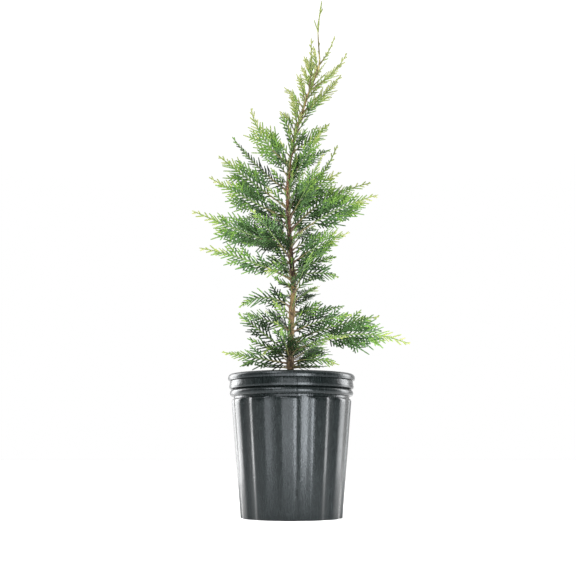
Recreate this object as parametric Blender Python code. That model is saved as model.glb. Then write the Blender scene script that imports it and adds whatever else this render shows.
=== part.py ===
"""A young leyland cypress in a ribbed nursery pot.

The origin is the middle of the pot's flat underside and +Z is up. The plant is looked at
along +Y, so -X is its left and +X its right. Lengths are in metres and angles in degrees.
"""
import math
import random
from collections import namedtuple

import bmesh
import bpy
import numpy as np
from mathutils import Matrix, Vector
from mathutils.bvhtree import BVHTree

GAP = 0.0003

# The pot, from its foot to its rolled lip.
POT_HEIGHT = 0.1845
RIM_RADIUS = 0.0825
FOOT_RADIUS = 0.0660
SHOULDER_HEIGHT = 0.1490
SHOULDER_RADIUS = 0.0784
NECK_HEIGHT = 0.1530
BEAD_HEIGHT = 0.1551
BAND_HEIGHT = 0.1655
LIP_HEIGHT = 0.1766
WALL = 0.0016
RIB_COUNT = 12
RIB_START = 267.0
RIB_DEPTH = 0.0026
RIDGE_ANGLE = 12.5
SLOPE_ANGLE = 2.5
DRAIN_COUNT = 6
DRAIN_RADIUS = 0.005
DRAIN_RING = 0.042

# The potting mix inside it, and its clearance from the twisted faces of the ribs.
SOIL_CLEARANCE = 0.0007
SOIL_BELOW_NECK = 0.0026
SOIL_EDGE_HEIGHT = 0.1670
SOIL_HEIGHT = 0.1700
SOIL_FLAT_RADIUS = 0.030

# The trunk: height and sideways places of its middle line, and its thickness.
TRUNK_ROUTE = (
    (0.1703, -0.001, 0.000), (0.215, -0.002, 0.001), (0.260, 0.000, 0.002), (0.300, 0.003, 0.001),
    (0.335, 0.000, -0.001), (0.375, -0.003, -0.001), (0.415, -0.005, 0.001), (0.464, -0.004, 0.002),
    (0.510, 0.004, 0.001), (0.560, 0.019, 0.000), (0.615, 0.040, -0.001), (0.645, 0.038, 0.000),
    (0.670, 0.037, 0.001), (0.7095, 0.043, 0.000))
TRUNK_RADIUS = 0.0042
TRUNK_TIP_RADIUS = 0.00035
TRUNK_TAPER = 1.0
FLARE_RADIUS = 0.0024
FLARE_HEIGHT = 0.006
TRUNK_RINGS = 24
TRUNK_SIDES = 8

# The limbs, whose thickness follows their length.
LIMB_RADIUS = 0.0006
LIMB_RADIUS_BY_LENGTH = 0.0055
LIMB_THINNING = 0.72
LIMB_SIDES = 5
LIMB_RINGS = 4
SEAT_TRIES = 12
SEAT_ACCURACY = 0.00003
SWAY = 12.0
STEP_ASIDE = 6.0
ASIDE_TRIES = 12

# A spray: flat laterals stand to either side of its stem, and shoots to either side of a lateral.
# The rule numbers every lateral and shoot. The solids take each third one and draw it wider.
STEM_RING_SPACING = 0.018
STEM_FULLNESS = 1.2
FIRST_LATERAL = 0.004
LATERAL_SPACING = 0.0031
LATERAL_EVERY = 3
LATERAL_ANGLE = 46.0
LATERAL_CLOSING = 18.0
CLOSING_ABOVE = 0.50
CLOSING_BY_HEIGHT = 180.0
LATERAL_TILT = 20.0
LATERAL_BEND = 0.12
LATERAL_HALF_WIDTH = 0.0021
BARE_TIP_LEAST = 0.02
BARE_TIP_BY_LENGTH = 2.2
LONGEST_FULL_SPRAY = 0.050
BARE_TIP_VARIATION = 0.05
NARROWING_SHARE = 0.42
SHORTEST_LATERAL = 0.007
SHORTEST_FORKED = 0.0190
WIDEST_SHARE = 0.38
FIRST_SHOOT = 0.0056
SHOOT_SPACING = 0.0034
SHOOT_EVERY = 3
SHOOT_ANGLE = 36.0
SHOOT_SHARE = 0.42
LONGEST_SHOOT = 0.0130
LAST_SHOOT_SHARE = 0.66
SHOOT_WIDTH = 0.0036
BLADE_THICKNESS = 0.0009
RIDGE_SETBACK = 0.0005
LOWEST = POT_HEIGHT + 0.002
CLEARANCE = 0.0003
WELD = 0.0000015
CUTS = (1.0, 0.75, 0.5)

# Colours in linear light.
BARK_LOW = (0.130, 0.085, 0.055)
BARK_YOUNG = (0.300, 0.170, 0.060)
PLASTIC = (0.018, 0.020, 0.022)
POTTING_MIX = (0.050, 0.026, 0.024)
FOLIAGE = {
    "bright": (0.360, 0.480, 0.150),
    "green": (0.210, 0.350, 0.110),
    "deep": (0.110, 0.210, 0.085),
}

# One spray each: where it leaves the trunk, its heading seen from above (0 right, 90 away,
# 180 left), its rise above the level and how far that turns along it, its length, the reach
# of its laterals, the roll of its plane (0 upright, 90 flat), the length of bare bough that
# carries it, and its colour.
Spray = namedtuple("Spray", "name height heading rise turn length reach roll bare colour bare_tip", defaults=(None,))
SPRAYS = (
    Spray("fork_right", 0.615, 0, 50, 24, 0.047, 0.009, 10, 0, "bright", 0.60),
    Spray("top_upright", 0.578, 0, 87, 3, 0.076, 0.015, 5, 0, "bright", 0.40),
    Spray("top_left_upper", 0.560, 186, 76, 10, 0.042, 0.014, 5, 0, "bright"),
    Spray("top_left_lower", 0.526, 176, 76, 10, 0.046, 0.015, 15, 0, "bright"),
    Spray("top_right_long", 0.578, 346, 24, 40, 0.074, 0.021, 8, 0, "bright", 0.28),
    Spray("top_right_second", 0.545, 14, 38, 18, 0.085, 0.024, 5, 0, "bright", 0.10),
    Spray("top_right_third", 0.530, 332, 50, -40, 0.062, 0.024, 20, 0, "green"),
    Spray("upper_left_fan", 0.472, 172, 36, 42, 0.102, 0.042, 4, 0, "bright", 0.20),
    Spray("left_climber", 0.434, 156, 37, 18, 0.122, 0.020, 12, 0, "deep", 0.10),
    Spray("left_broad", 0.410, 186, 35, 5, 0.120, 0.046, 6, 0.020, "green"),
    Spray("left_second", 0.394, 202, 21, 0, 0.125, 0.041, 12, 0.022, "green"),
    Spray("left_inner", 0.388, 130, 24, -20, 0.110, 0.042, 30, 0, "deep"),
    Spray("left_long", 0.353, 194, 17, 1, 0.143, 0.044, 14, 0.030, "green", 0.28),
    Spray("left_behind", 0.366, 142, 8, 12, 0.130, 0.044, 35, 0, "deep"),
    Spray("left_drooper", 0.311, 190, 27, -18, 0.133, 0.036, 16, 0.024, "green", 0.22),
    Spray("left_arch", 0.272, 196, 44, -88, 0.080, 0.028, 12, 0, "green"),
    Spray("left_thin", 0.244, 164, 26, -12, 0.074, 0.028, 20, 0, "deep"),
    Spray("left_low", 0.212, 178, 38, 0, 0.090, 0.031, 10, 0.018, "green"),
    Spray("left_foot", 0.199, 190, 9, 0, 0.092, 0.030, 22, 0, "green"),
    Spray("left_foot_front", 0.222, 226, 6, -44, 0.064, 0.022, 40, 0, "bright"),
    Spray("right_upper", 0.488, 8, 38, 4, 0.070, 0.032, 10, 0, "green"),
    Spray("right_upper_dark", 0.458, 24, 46, -24, 0.080, 0.028, 25, 0, "deep"),
    Spray("right_fan", 0.395, 14, 62, -38, 0.104, 0.042, 6, 0.022, "green", 0.22),
    Spray("right_whip", 0.410, 24, 37, 30, 0.130, 0.022, 14, 0, "green"),
    Spray("right_long", 0.366, 350, 38, -25, 0.134, 0.050, 8, 0.030, "green"),
    Spray("right_behind", 0.377, 24, 50, -34, 0.156, 0.044, 20, 0, "deep"),
    Spray("right_middle", 0.333, 330, 31, -24, 0.098, 0.046, 24, 0, "green"),
    Spray("right_sparse", 0.314, 14, 26, -44, 0.068, 0.031, 10, 0, "deep"),
    Spray("right_thin", 0.268, 24, 6, 8, 0.084, 0.018, 14, 0, "deep"),
    Spray("right_low_upper", 0.229, 8, 23, -13, 0.130, 0.036, 6, 0.028, "green"),
    Spray("right_low_long", 0.212, 346, 30, -54, 0.166, 0.047, 14, 0.044, "bright", 0.26),
    Spray("right_foot", 0.200, 336, 16, -40, 0.070, 0.024, 20, 0, "bright"),
    Spray("front_high", 0.444, 334, 52, 6, 0.084, 0.038, 8, 0, "bright"),
    Spray("front_upper", 0.392, 322, 52, 2, 0.104, 0.042, 14, 0, "bright"),
    Spray("front_left", 0.338, 240, 30, -12, 0.118, 0.042, 40, 0, "green"),
    Spray("front_middle", 0.292, 286, 30, -10, 0.098, 0.036, 50, 0, "green"),
    Spray("front_low", 0.240, 334, 22, -16, 0.088, 0.036, 10, 0, "bright"),
    Spray("front_foot", 0.204, 262, 20, -6, 0.104, 0.036, 60, 0, "green"),
)

# The sprays of the far side follow a rule: they climb the trunk, swinging from side to side.
BACK_COUNT = 8
BACK_LOWEST = 0.202
BACK_STEP = 0.038
BACK_HEADING = 90.0
BACK_SWING = 34.0
BACK_RISE = 22.0
BACK_RISE_STEP = 3.0
BACK_TURN = -10.0
BACK_LENGTH = 0.144
BACK_WAIST_HEIGHT = 0.290
BACK_WAIST = 0.030
BACK_WAIST_SPREAD = 0.030
BACK_NARROWING = 0.0090
BACK_REACH_SHARE = 0.35
BACK_BARE = (4,)
BACK_BARE_LENGTH = 0.030


def draw(low, high, *place):
    """A repeatable random number for a named place on the plant."""
    return random.Random(repr(place)).uniform(low, high)


def along(points, distance):
    """The place and the direction at a distance along a line of points."""
    for start, end in zip(points, points[1:]):
        span = (end - start).length
        if distance <= span or end is points[-1]:
            return start + (end - start) * (distance / span), (end - start) / span
        distance -= span


def blend(rows, key):
    """The row between the listed ones at a key, which is each row's first number."""
    for low, high in zip(rows, rows[1:]):
        if key <= high[0] or high is rows[-1]:
            share = (key - low[0]) / (high[0] - low[0])
            return [a + (b - a) * share for a, b in zip(low, high)]


def trunk_place(height):
    """The middle of the trunk at a height, eased so that its bends are round."""
    reach = 0.008
    rows = [blend(TRUNK_ROUTE, min(max(height + reach * k, TRUNK_ROUTE[0][0]), TRUNK_ROUTE[-1][0]))
            for k in (-1, 0, 1)]
    return Vector((sum(row[1] for row in rows) / 3, sum(row[2] for row in rows) / 3, height))


def trunk_radius(height):
    """The trunk's radius, with the flare over its roots."""
    low, high = TRUNK_ROUTE[0][0], TRUNK_ROUTE[-1][0]
    share = (height - low) / (high - low)
    flare = FLARE_RADIUS * math.exp(-(height - low) / FLARE_HEIGHT)
    return TRUNK_RADIUS * (1 - share) ** TRUNK_TAPER + TRUNK_TIP_RADIUS + flare


class Placed:
    """The twigs placed so far, as straight rods, each with the node that owns it."""

    def __init__(self):
        self.starts, self.ends, self.radii, self.owners = [], [], [], []

    def add(self, owner, points, radii):
        for i in range(len(points) - 1):
            self.starts.append(points[i])
            self.ends.append(points[i + 1])
            self.radii.append(max(radii[i], radii[i + 1]))
            self.owners.append(owner)

    def is_clear(self, owners, points, radii):
        """Whether a twig keeps its clearance to all rods but those of the given owners."""
        if min(point.z - radius for point, radius in zip(points, radii)) < LOWEST:
            return False
        others = np.array([owner not in owners for owner in self.owners])
        if not others.any():
            return True
        starts = np.array(self.starts)[others]
        ends = np.array(self.ends)[others]
        reach = np.array(self.radii)[others]
        for i in range(len(points) - 1):
            gaps = rod_gaps(np.array(points[i]), np.array(points[i + 1]), starts, ends)
            if (gaps < reach + max(radii[i], radii[i + 1]) + CLEARANCE).any():
                return False
        return True


def rod_gaps(start, end, starts, ends):
    """The least distance of one straight line from each of many others."""
    own, other, offset = end - start, ends - starts, start - starts
    own_square = own @ own
    other_square = (other * other).sum(axis=1)
    cross, own_part = other @ own, offset @ own
    other_part = (other * offset).sum(axis=1)
    spread = own_square * other_square - cross * cross
    share = np.where(spread > 1e-16, (cross * other_part - own_part * other_square)
                     / np.maximum(spread, 1e-16), 0.0).clip(0, 1)
    other_share = ((cross * share + other_part) / other_square).clip(0, 1)
    share = ((cross * other_share - own_part) / own_square).clip(0, 1)
    return np.linalg.norm(start + share[:, None] * own - starts - other_share[:, None] * other, axis=1)


def back_sprays():
    """The far side's sprays, shorter at the crown's waist and towards the top."""
    for i in range(BACK_COUNT):
        height = BACK_LOWEST + BACK_STEP * i
        waist = BACK_WAIST * math.exp(-((height - BACK_WAIST_HEIGHT) / BACK_WAIST_SPREAD) ** 2)
        length = BACK_LENGTH - BACK_NARROWING * i - waist
        swing = BACK_SWING * (1 if i % 2 else -1) * draw(0.3, 1.0, "swing", i)
        yield Spray(f"back_{i + 1}", height, BACK_HEADING + swing, BACK_RISE + BACK_RISE_STEP * i,
                    BACK_TURN, length, length * BACK_REACH_SHARE, draw(30, 80, "roll", i),
                    BACK_BARE_LENGTH if i in BACK_BARE else 0, "deep" if i % 3 else "green")


def limb_line(spray, heading):
    """A limb's middle line from the trunk's own: its rise turns, and it sways a little."""
    steps = 16
    sway = draw(-SWAY, SWAY, spray.name, "sway")
    points = [trunk_place(spray.height)]
    for i in range(steps):
        share = (i + 0.5) / steps
        rise = math.radians(spray.rise + spray.turn * share)
        side = math.radians(heading + sway * share)
        direction = Vector((math.cos(side) * math.cos(rise), math.sin(side) * math.cos(rise), math.sin(rise)))
        points.append(points[-1] + direction * (spray.length / steps))
    return points


def limb_radius(spray, distance):
    """A limb thins evenly from the trunk to its tip."""
    base = LIMB_RADIUS + LIMB_RADIUS_BY_LENGTH * spray.length
    return base * (1 - LIMB_THINNING * distance / spray.length)


def limb_start(spray, line):
    """How far along its line a limb comes clear of the trunk's bark."""
    direction = (line[1] - line[0]).normalized()
    upward = (trunk_place(spray.height + 0.004) - trunk_place(spray.height)).normalized()
    apart = direction.cross(upward).length
    own = limb_radius(spray, 0) * STEM_FULLNESS
    return (trunk_radius(spray.height) + GAP + own * (abs(direction.dot(upward)) + 0.15)) / apart


class Limb:
    """One spray's middle line, with the lengths at which its bough and its stem begin."""

    def __init__(self, spray, heading):
        self.spray = spray
        self.line = limb_line(spray, heading)
        self.start = limb_start(spray, self.line)
        self.stem_start = self.start + spray.bare + GAP if spray.bare else self.start

    def rings(self, start, end, count):
        """Evenly spaced places, directions and radii between two lengths."""
        spots = [start + (end - start) * i / (count - 1) for i in range(count)]
        places = [along(self.line, spot) for spot in spots]
        return [p for p, _ in places], [d for _, d in places], [limb_radius(self.spray, s) for s in spots]

    def lateral_count(self):
        """How many laterals the rule gives its stem, on both sides."""
        return int((self.spray.length - self.stem_start - FIRST_LATERAL - 0.005) / LATERAL_SPACING)

    def plane(self, direction):
        """The direction in which laterals leave the stem, square to it, after the spray's roll."""
        level = Vector((0, 0, 1)).cross(direction).normalized()
        roll = math.radians(self.spray.roll)
        return (direction.cross(level) * math.cos(roll) + level * math.sin(roll)).normalized()


def settle_limbs(placed):
    """Turns each limb aside, step by step, until it passes clear of those before it."""
    limbs = []
    for spray in sorted([*SPRAYS, *back_sprays()], key=lambda row: -row.length):
        for attempt in range(ASIDE_TRIES):
            aside = STEP_ASIDE * ((attempt + 1) // 2) * (-1) ** attempt
            limb = Limb(spray, spray.heading + aside)
            points, _, radii = limb.rings(limb.start, spray.length, 12)
            if placed.is_clear({"trunk"}, points, radii):
                placed.add(spray.name, points, radii)
                limbs.append(limb)
                break
    return limbs


def tapered(points, widths, heights, side, sides=3, pointed=True):
    """A closed limb or blade: rings round a line of points, and a point or a flat at its end.

    Widths reach along the side direction and heights across it.
    """
    mesh = bmesh.new()
    last = len(points) - 1
    rings = []
    for i, point in enumerate(points):
        direction = (points[min(i + 1, last)] - points[max(i - 1, 0)]).normalized()
        up = direction.cross(side).normalized()
        across = up.cross(direction)
        if pointed and i == last:
            rings.append([mesh.verts.new(point)])
            continue
        turns = [math.tau * (k + 0.25 if sides == 3 else k) / sides for k in range(sides)]
        rings.append([mesh.verts.new(point + across * (widths[i] * math.cos(a)) + up * (heights[i] * math.sin(a)))
                      for a in turns])
    mesh.faces.new(rings[0][::-1])
    for low, high in zip(rings, rings[1:]):
        for k in range(sides):
            corners = [low[k], low[(k + 1) % sides], high[(k + 1) % len(high)], high[k % len(high)]]
            mesh.faces.new(list(dict.fromkeys(corners)))
    if len(rings[-1]) > 1:
        mesh.faces.new(rings[-1])
    bmesh.ops.recalc_face_normals(mesh, faces=mesh.faces)
    return mesh


def lateral_length(spray, share):
    """Laterals are longest a little way out, and shorten to the stem's bare tip: the spray's outline."""
    bare_tip = spray.bare_tip
    if bare_tip is None:
        bare_tip = BARE_TIP_BY_LENGTH * (spray.length - LONGEST_FULL_SPRAY)
        bare_tip += draw(-BARE_TIP_VARIATION, BARE_TIP_VARIATION, spray.name, "bare tip")
    bare_tip = max(bare_tip, BARE_TIP_LEAST)
    narrowing = min(1.0, max(0.0, (1.02 - bare_tip - share) / NARROWING_SHARE)) ** 0.55
    return spray.reach * min(1.0, 0.5 + 3.0 * share) * (1.08 - share) ** 0.8 * narrowing


class Lateral:
    """One branchlet of a spray: where it leaves the stem, and its line out to its tip."""

    def __init__(self, limb, index):
        spray = limb.spray
        first = limb.stem_start + FIRST_LATERAL
        self.key = (spray.name, index)
        self.distance = first + LATERAL_SPACING * index
        share = (self.distance - first) / (spray.length - first)
        self.root, self.inward = along(limb.line, self.distance)
        self.length = lateral_length(spray, share) * draw(0.8, 1.15, *self.key, "length")
        closing = LATERAL_CLOSING * share + CLOSING_BY_HEIGHT * max(spray.height - CLOSING_ABOVE, 0)
        angle = math.radians(LATERAL_ANGLE - closing + draw(-6, 6, *self.key, "angle"))
        tilt = math.radians(draw(-LATERAL_TILT, LATERAL_TILT, *self.key, "tilt"))
        outward = limb.plane(self.inward) * (1 if index % 2 else -1)
        outward = outward * math.cos(tilt) + self.inward.cross(outward) * math.sin(tilt)
        self.normal = self.inward.cross(outward)
        self.direction = self.inward * math.cos(angle) + outward * math.sin(angle)
        self.side = self.normal.cross(self.direction)
        self.stem_radius = limb_radius(spray, self.distance)

    def place(self, distance, across=0.0, above=0.0):
        """A point along the lateral, which bends a little towards the stem's direction."""
        bend = LATERAL_BEND * distance * distance / self.length
        return (self.root + self.direction * distance + self.inward * bend
                + self.side * across + self.normal * above)

    def half_width(self, share):
        """Half the lateral's own width, which is widest a little over a third of the way out."""
        rising = 0.45 + 0.55 * share / WIDEST_SHARE
        falling = (1 - share) / (1 - WIDEST_SHARE)
        return LATERAL_HALF_WIDTH * min(rising, falling)

    def shoot_places(self, length):
        """How far out each pair of side shoots begins."""
        if length < SHORTEST_FORKED:
            return []
        count = int((LAST_SHOOT_SHARE * length - FIRST_SHOOT) / SHOOT_SPACING) + 1
        return [FIRST_SHOOT + SHOOT_SPACING * index for index in range(0, count, SHOOT_EVERY)]

    def shoot_tip(self, way, start, length):
        """The tip of the side shoot that begins at a place: how far out and how far across."""
        reach = min(SHOOT_SHARE * length * (1.15 - start / length), LONGEST_SHOOT)
        reach *= draw(0.75, 1.15, *self.key, round(start / SHOOT_SPACING), way)
        angle = math.radians(SHOOT_ANGLE)
        return start + reach * math.cos(angle), self.half_width(start / length) + reach * math.sin(angle)

    def blade(self, cut):
        """The lateral and its side shoots as one blade, flat below, with a low roof along its rib."""
        length = self.length * cut
        floor = -0.3 * self.stem_radius
        starts = self.shoot_places(length)
        crests = starts or [WIDEST_SHARE * length]
        mesh = bmesh.new()

        def point(distance, across, above=floor):
            return mesh.verts.new(self.place(distance, across, above))

        ridge = [point(0, 0, 0.4 * self.stem_radius)]
        ridge += [point(crest - RIDGE_SETBACK, 0, floor + BLADE_THICKNESS * (1.1 - crest / length)) for crest in crests]
        tip = point(length, 0)
        outline = []
        for way in (1, -1):
            edge = [point(0, way * 0.55 * self.stem_radius)]
            for start in starts:
                out, across = self.shoot_tip(way, start, length)
                edge += [point(start, way * self.half_width(start / length)), point(out, way * across),
                         point(start + SHOOT_WIDTH, way * self.half_width((start + SHOOT_WIDTH) / length))]
            if not starts:
                edge.append(point(crests[0], way * self.half_width(WIDEST_SHARE)))
            outline.append(edge)
            for face in roof_faces(ridge, edge, tip):
                mesh.faces.new(face if way > 0 else face[::-1])
        mesh.faces.new(outline[0] + [tip] + outline[1][::-1])
        mesh.faces.new((outline[0][0], outline[1][0], ridge[0]))
        bmesh.ops.recalc_face_normals(mesh, faces=mesh.faces)
        return mesh


def roof_faces(ridge, edge, tip):
    """The slopes on one side of a blade: each shoot's two, and the strips between the shoots."""
    faces = [(ridge[0], ridge[1], edge[1], edge[0])]
    for k, crest in enumerate(ridge[1:]):
        shoot = edge[3 * k + 1:3 * k + 4]
        faces += [(crest, high, low) for low, high in zip(shoot, shoot[1:])]
        if k < len(ridge) - 2:
            faces.append((crest, ridge[k + 2], edge[3 * k + 4], shoot[-1]))
    return faces + [(ridge[-1], tip, edge[-1])]


class Obstacles:
    """The shapes placed so far, each with the node that owns it."""

    def __init__(self):
        self.trees, self.owners, self.lows, self.highs = [], [], [], []

    def add(self, owner, mesh):
        points = np.array([vert.co for vert in mesh.verts])
        self.trees.append(BVHTree.FromBMesh(mesh))
        self.owners.append(owner)
        self.lows.append(points.min(axis=0) - CLEARANCE)
        self.highs.append(points.max(axis=0) + CLEARANCE)

    def is_clear(self, owner, mesh, normal):
        """Whether a blade meets no other node's shape, nor does it when moved off its plane."""
        points = np.array([vert.co for vert in mesh.verts])
        if points[:, 2].min() < LOWEST:
            return False
        low, high = points.min(axis=0), points.max(axis=0)
        near = (np.array(self.lows) <= high).all(axis=1) & (np.array(self.highs) >= low).all(axis=1)
        rivals = [self.trees[k] for k in np.flatnonzero(near) if self.owners[k] != owner]
        if not rivals:
            return True
        mesh.verts.index_update()
        faces = [[vert.index for vert in face.verts] for face in mesh.faces]
        for shift in (0, CLEARANCE, -CLEARANCE):
            moved = BVHTree.FromPolygons([vert.co + normal * shift for vert in mesh.verts], faces)
            if any(moved.overlap(rival) for rival in rivals):
                return False
        return True


def grow_laterals(limbs, obstacles):
    """Each spray's laterals in turn, cut back or left out where another node is in the way."""
    grown = {limb.spray.name: [] for limb in limbs}
    most = max(limb.lateral_count() for limb in limbs)
    for index in range(0, most, LATERAL_EVERY):
        for limb in limbs:
            lateral = Lateral(limb, index) if index < limb.lateral_count() else None
            if lateral is None or lateral.length < SHORTEST_LATERAL:
                continue
            for cut in CUTS:
                mesh = lateral.blade(cut)
                if obstacles.is_clear(limb.spray.name, mesh, lateral.normal):
                    obstacles.add(limb.spray.name, mesh)
                    grown[limb.spray.name].append(mesh)
                    break
                mesh.free()
    return grown


def material(name, colour, roughness, metallic=0.0):
    """A plain finish of one colour."""
    finish = bpy.data.materials.new(name)
    finish.use_nodes = True
    shader = finish.node_tree.nodes["Principled BSDF"]
    shader.inputs["Base Color"].default_value = (*colour, 1)
    shader.inputs["Roughness"].default_value = roughness
    shader.inputs["Metallic"].default_value = metallic
    finish.diffuse_color = (*colour, 1)
    return finish


def shade(data):
    """Rounds the shading where faces meet at a low angle."""
    data.shade_smooth()
    data.set_sharp_from_angle(angle=math.radians(35))


def named_object(name, mesh, colour, roughness, parent):
    """An object of the plant from a bmesh, with its own material."""
    data = bpy.data.meshes.new(name)
    mesh.to_mesh(data)
    mesh.free()
    shade(data)
    data.materials.append(material(name, colour, roughness))
    thing = bpy.data.objects.new(name, data)
    bpy.context.scene.collection.objects.link(thing)
    thing.parent = parent
    return thing


def keep_largest_body(data):
    """Welds points that fusing left all but touching, and drops loose scraps and sealed hollows."""
    mesh = bmesh.new()
    mesh.from_mesh(data)
    bmesh.ops.remove_doubles(mesh, verts=mesh.verts, dist=WELD)
    left = set(mesh.faces)
    bodies = []
    while left:
        body, found = set(), [next(iter(left))]
        while found:
            face = found.pop()
            if face not in body:
                body.add(face)
                found.extend(other for edge in face.edges for other in edge.link_faces)
        bodies.append(body)
        left -= body
    bodies.sort(key=len)
    bmesh.ops.delete(mesh, geom=[face for body in bodies[:-1] for face in body], context="FACES")
    mesh.to_mesh(data)
    mesh.free()


def is_closed(data):
    """Whether every edge of a mesh joins two faces."""
    mesh = bmesh.new()
    mesh.from_mesh(data)
    closed = len(mesh.faces) > 0 and all(len(edge.link_faces) == 2 for edge in mesh.edges)
    mesh.free()
    return closed


def fused(stem, pieces, solver):
    """The stem joined to the pieces by one Boolean union on a collection of them."""
    group = bpy.data.collections.new("fused_pieces")
    for piece in pieces:
        group.objects.link(piece)
    union = stem.modifiers.new("union", "BOOLEAN")
    union.operation = "UNION"
    union.operand_type = "COLLECTION"
    union.collection = group
    union.solver = solver
    graph = bpy.context.evaluated_depsgraph_get()
    data = bpy.data.meshes.new_from_object(stem.evaluated_get(graph))
    stem.modifiers.clear()
    bpy.data.collections.remove(group)
    keep_largest_body(data)
    return data


def fuse(stem, shapes):
    """Fuses the laterals to their stem at once or, where that leaves an open edge, one by one."""
    pieces = []
    for mesh in shapes:
        data = bpy.data.meshes.new("piece")
        mesh.to_mesh(data)
        mesh.free()
        pieces.append(bpy.data.objects.new("piece", data))
    for solver, batches in (("EXACT", [pieces]), ("MANIFOLD", [pieces]), ("EXACT", [[piece] for piece in pieces])):
        for batch in batches:
            data = fused(stem, batch, solver)
            if is_closed(data):
                stem.data = data
        if is_closed(data):
            break
    for piece in pieces:
        bpy.data.objects.remove(piece)
    shade(stem.data)


def stem_shape(limb, start):
    """A spray's stem: three-sided, from its cut end to its pointed tip."""
    count = max(4, round((limb.spray.length - start) / STEM_RING_SPACING) + 1)
    points, directions, radii = limb.rings(start, limb.spray.length, count)
    radii = [radius * STEM_FULLNESS for radius in radii]
    return tapered(points, radii, radii, limb.plane(directions[0]))


def bough_shape(limb, start):
    """The bare bough from the trunk to where its spray begins."""
    points, directions, radii = limb.rings(start, limb.start + limb.spray.bare, LIMB_RINGS)
    return tapered(points, radii, radii, limb.plane(directions[0]), LIMB_SIDES, pointed=False)


def seated(shape, limb, bark):
    """A limb's shape whose cut end lies the named gap from the trunk's bark."""
    start = limb.start
    for _ in range(SEAT_TRIES):
        mesh = shape(limb, start)
        mesh.faces.ensure_lookup_table()
        cut_end = mesh.faces[0]
        corners = [vert.co for vert in cut_end.verts]
        spots = corners + [cut_end.calc_center_median()]
        spots += [(corner + following) / 2 for corner, following in zip(corners, corners[1:] + corners[:1])]
        nearest = [(spot, *bark.find_nearest(spot)[:2]) for spot in spots]
        gap = min((spot - place).dot(normal) for spot, place, normal in nearest)
        if abs(gap - GAP) < SEAT_ACCURACY:
            break
        mesh.free()
        start += GAP - gap
    else:
        mesh = shape(limb, limb.start)
    return mesh


def round_ring(radius, height):
    """A plain ring with the ribbed rings' spacing of points."""
    return ribbed_ring(radius, height, 0.0)


def ribbed_ring(radius, height, depth=RIB_DEPTH):
    """A ring whose ridges stand out: four points a rib, two on its ridge and two in its groove."""
    half_ridge = RIDGE_ANGLE / 2
    half_pitch = 180.0 / RIB_COUNT
    points = []
    for rib in range(RIB_COUNT):
        middle = RIB_START + 360.0 * rib / RIB_COUNT
        for offset, inward in ((-half_ridge, 0.0), (half_ridge, 0.0), (half_ridge + SLOPE_ANGLE, depth),
                               (2 * half_pitch - half_ridge - SLOPE_ANGLE, depth)):
            angle = math.radians(middle + offset)
            points.append(Vector(((radius - inward) * math.cos(angle), (radius - inward) * math.sin(angle), height)))
    return points


def stack(rings):
    """A closed solid from rings of equal count, from the underside outside to the last cap."""
    mesh = bmesh.new()
    loops = [[mesh.verts.new(point) for point in ring] for ring in rings]
    mesh.faces.new(loops[0][::-1])
    count = len(loops[0])
    for low, high in zip(loops, loops[1:]):
        for k in range(count):
            mesh.faces.new((low[k], low[(k + 1) % count], high[(k + 1) % count], high[k]))
    mesh.faces.new(loops[-1])
    bmesh.ops.recalc_face_normals(mesh, faces=mesh.faces)
    return mesh


def inner_radius(height):
    """The inside of the pot's ridges at a height."""
    share = height / SHOULDER_HEIGHT
    return FOOT_RADIUS + (SHOULDER_RADIUS - FOOT_RADIUS) * share - WALL


def build_pot(parent):
    """The ribbed pot: outside from its foot up, over the rolled lip, and down the inside."""
    neck = SHOULDER_RADIUS - RIB_DEPTH
    band = RIM_RADIUS - 0.0012
    rings = [
        ribbed_ring(FOOT_RADIUS - 0.0010, 0.0),
        ribbed_ring(FOOT_RADIUS, 0.0012),
        ribbed_ring(SHOULDER_RADIUS, SHOULDER_HEIGHT),
        ribbed_ring(SHOULDER_RADIUS - 0.0010, SHOULDER_HEIGHT + 0.0026, RIB_DEPTH - 0.0010),
        round_ring(neck, NECK_HEIGHT),
        round_ring(neck, BEAD_HEIGHT),
        round_ring(band - 0.0014, BEAD_HEIGHT + 0.0002),
        round_ring(band - 0.0004, BEAD_HEIGHT + 0.0028),
        round_ring(band - 0.0010, BAND_HEIGHT - 0.0018),
        round_ring(band - 0.0024, BAND_HEIGHT - 0.0004),
        round_ring(band - 0.0002, BAND_HEIGHT + 0.0008),
        round_ring(band, LIP_HEIGHT - 0.0006),
        round_ring(RIM_RADIUS - 0.0004, LIP_HEIGHT + 0.0006),
        round_ring(RIM_RADIUS, LIP_HEIGHT + 0.0026),
        round_ring(RIM_RADIUS - 0.0008, POT_HEIGHT - 0.0018),
        round_ring(RIM_RADIUS - 0.0032, POT_HEIGHT),
        round_ring(RIM_RADIUS - 0.0060, POT_HEIGHT - 0.0022),
        round_ring(neck - WALL, NECK_HEIGHT),
        ribbed_ring(inner_radius(SHOULDER_HEIGHT), SHOULDER_HEIGHT),
        ribbed_ring(inner_radius(WALL), WALL),
    ]
    pot = named_object("pot", stack(rings), PLASTIC, 0.38, parent)
    drains = bmesh.new()
    for k in range(DRAIN_COUNT):
        place = Matrix.Rotation(math.tau * k / DRAIN_COUNT, 4, "Z") @ Matrix.Translation((DRAIN_RING, 0, 0))
        bmesh.ops.create_cone(drains, cap_ends=True, segments=10, radius1=DRAIN_RADIUS, radius2=DRAIN_RADIUS,
                              depth=4 * WALL, matrix=place)
    cutter = named_object("drain_cutter", drains, PLASTIC, 0.4, parent)
    cutter.hide_render = True
    cutter.display_type = "WIRE"
    cut = pot.modifiers.new("drain_holes", "BOOLEAN")
    cut.operation = "DIFFERENCE"
    cut.object = cutter


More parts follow.
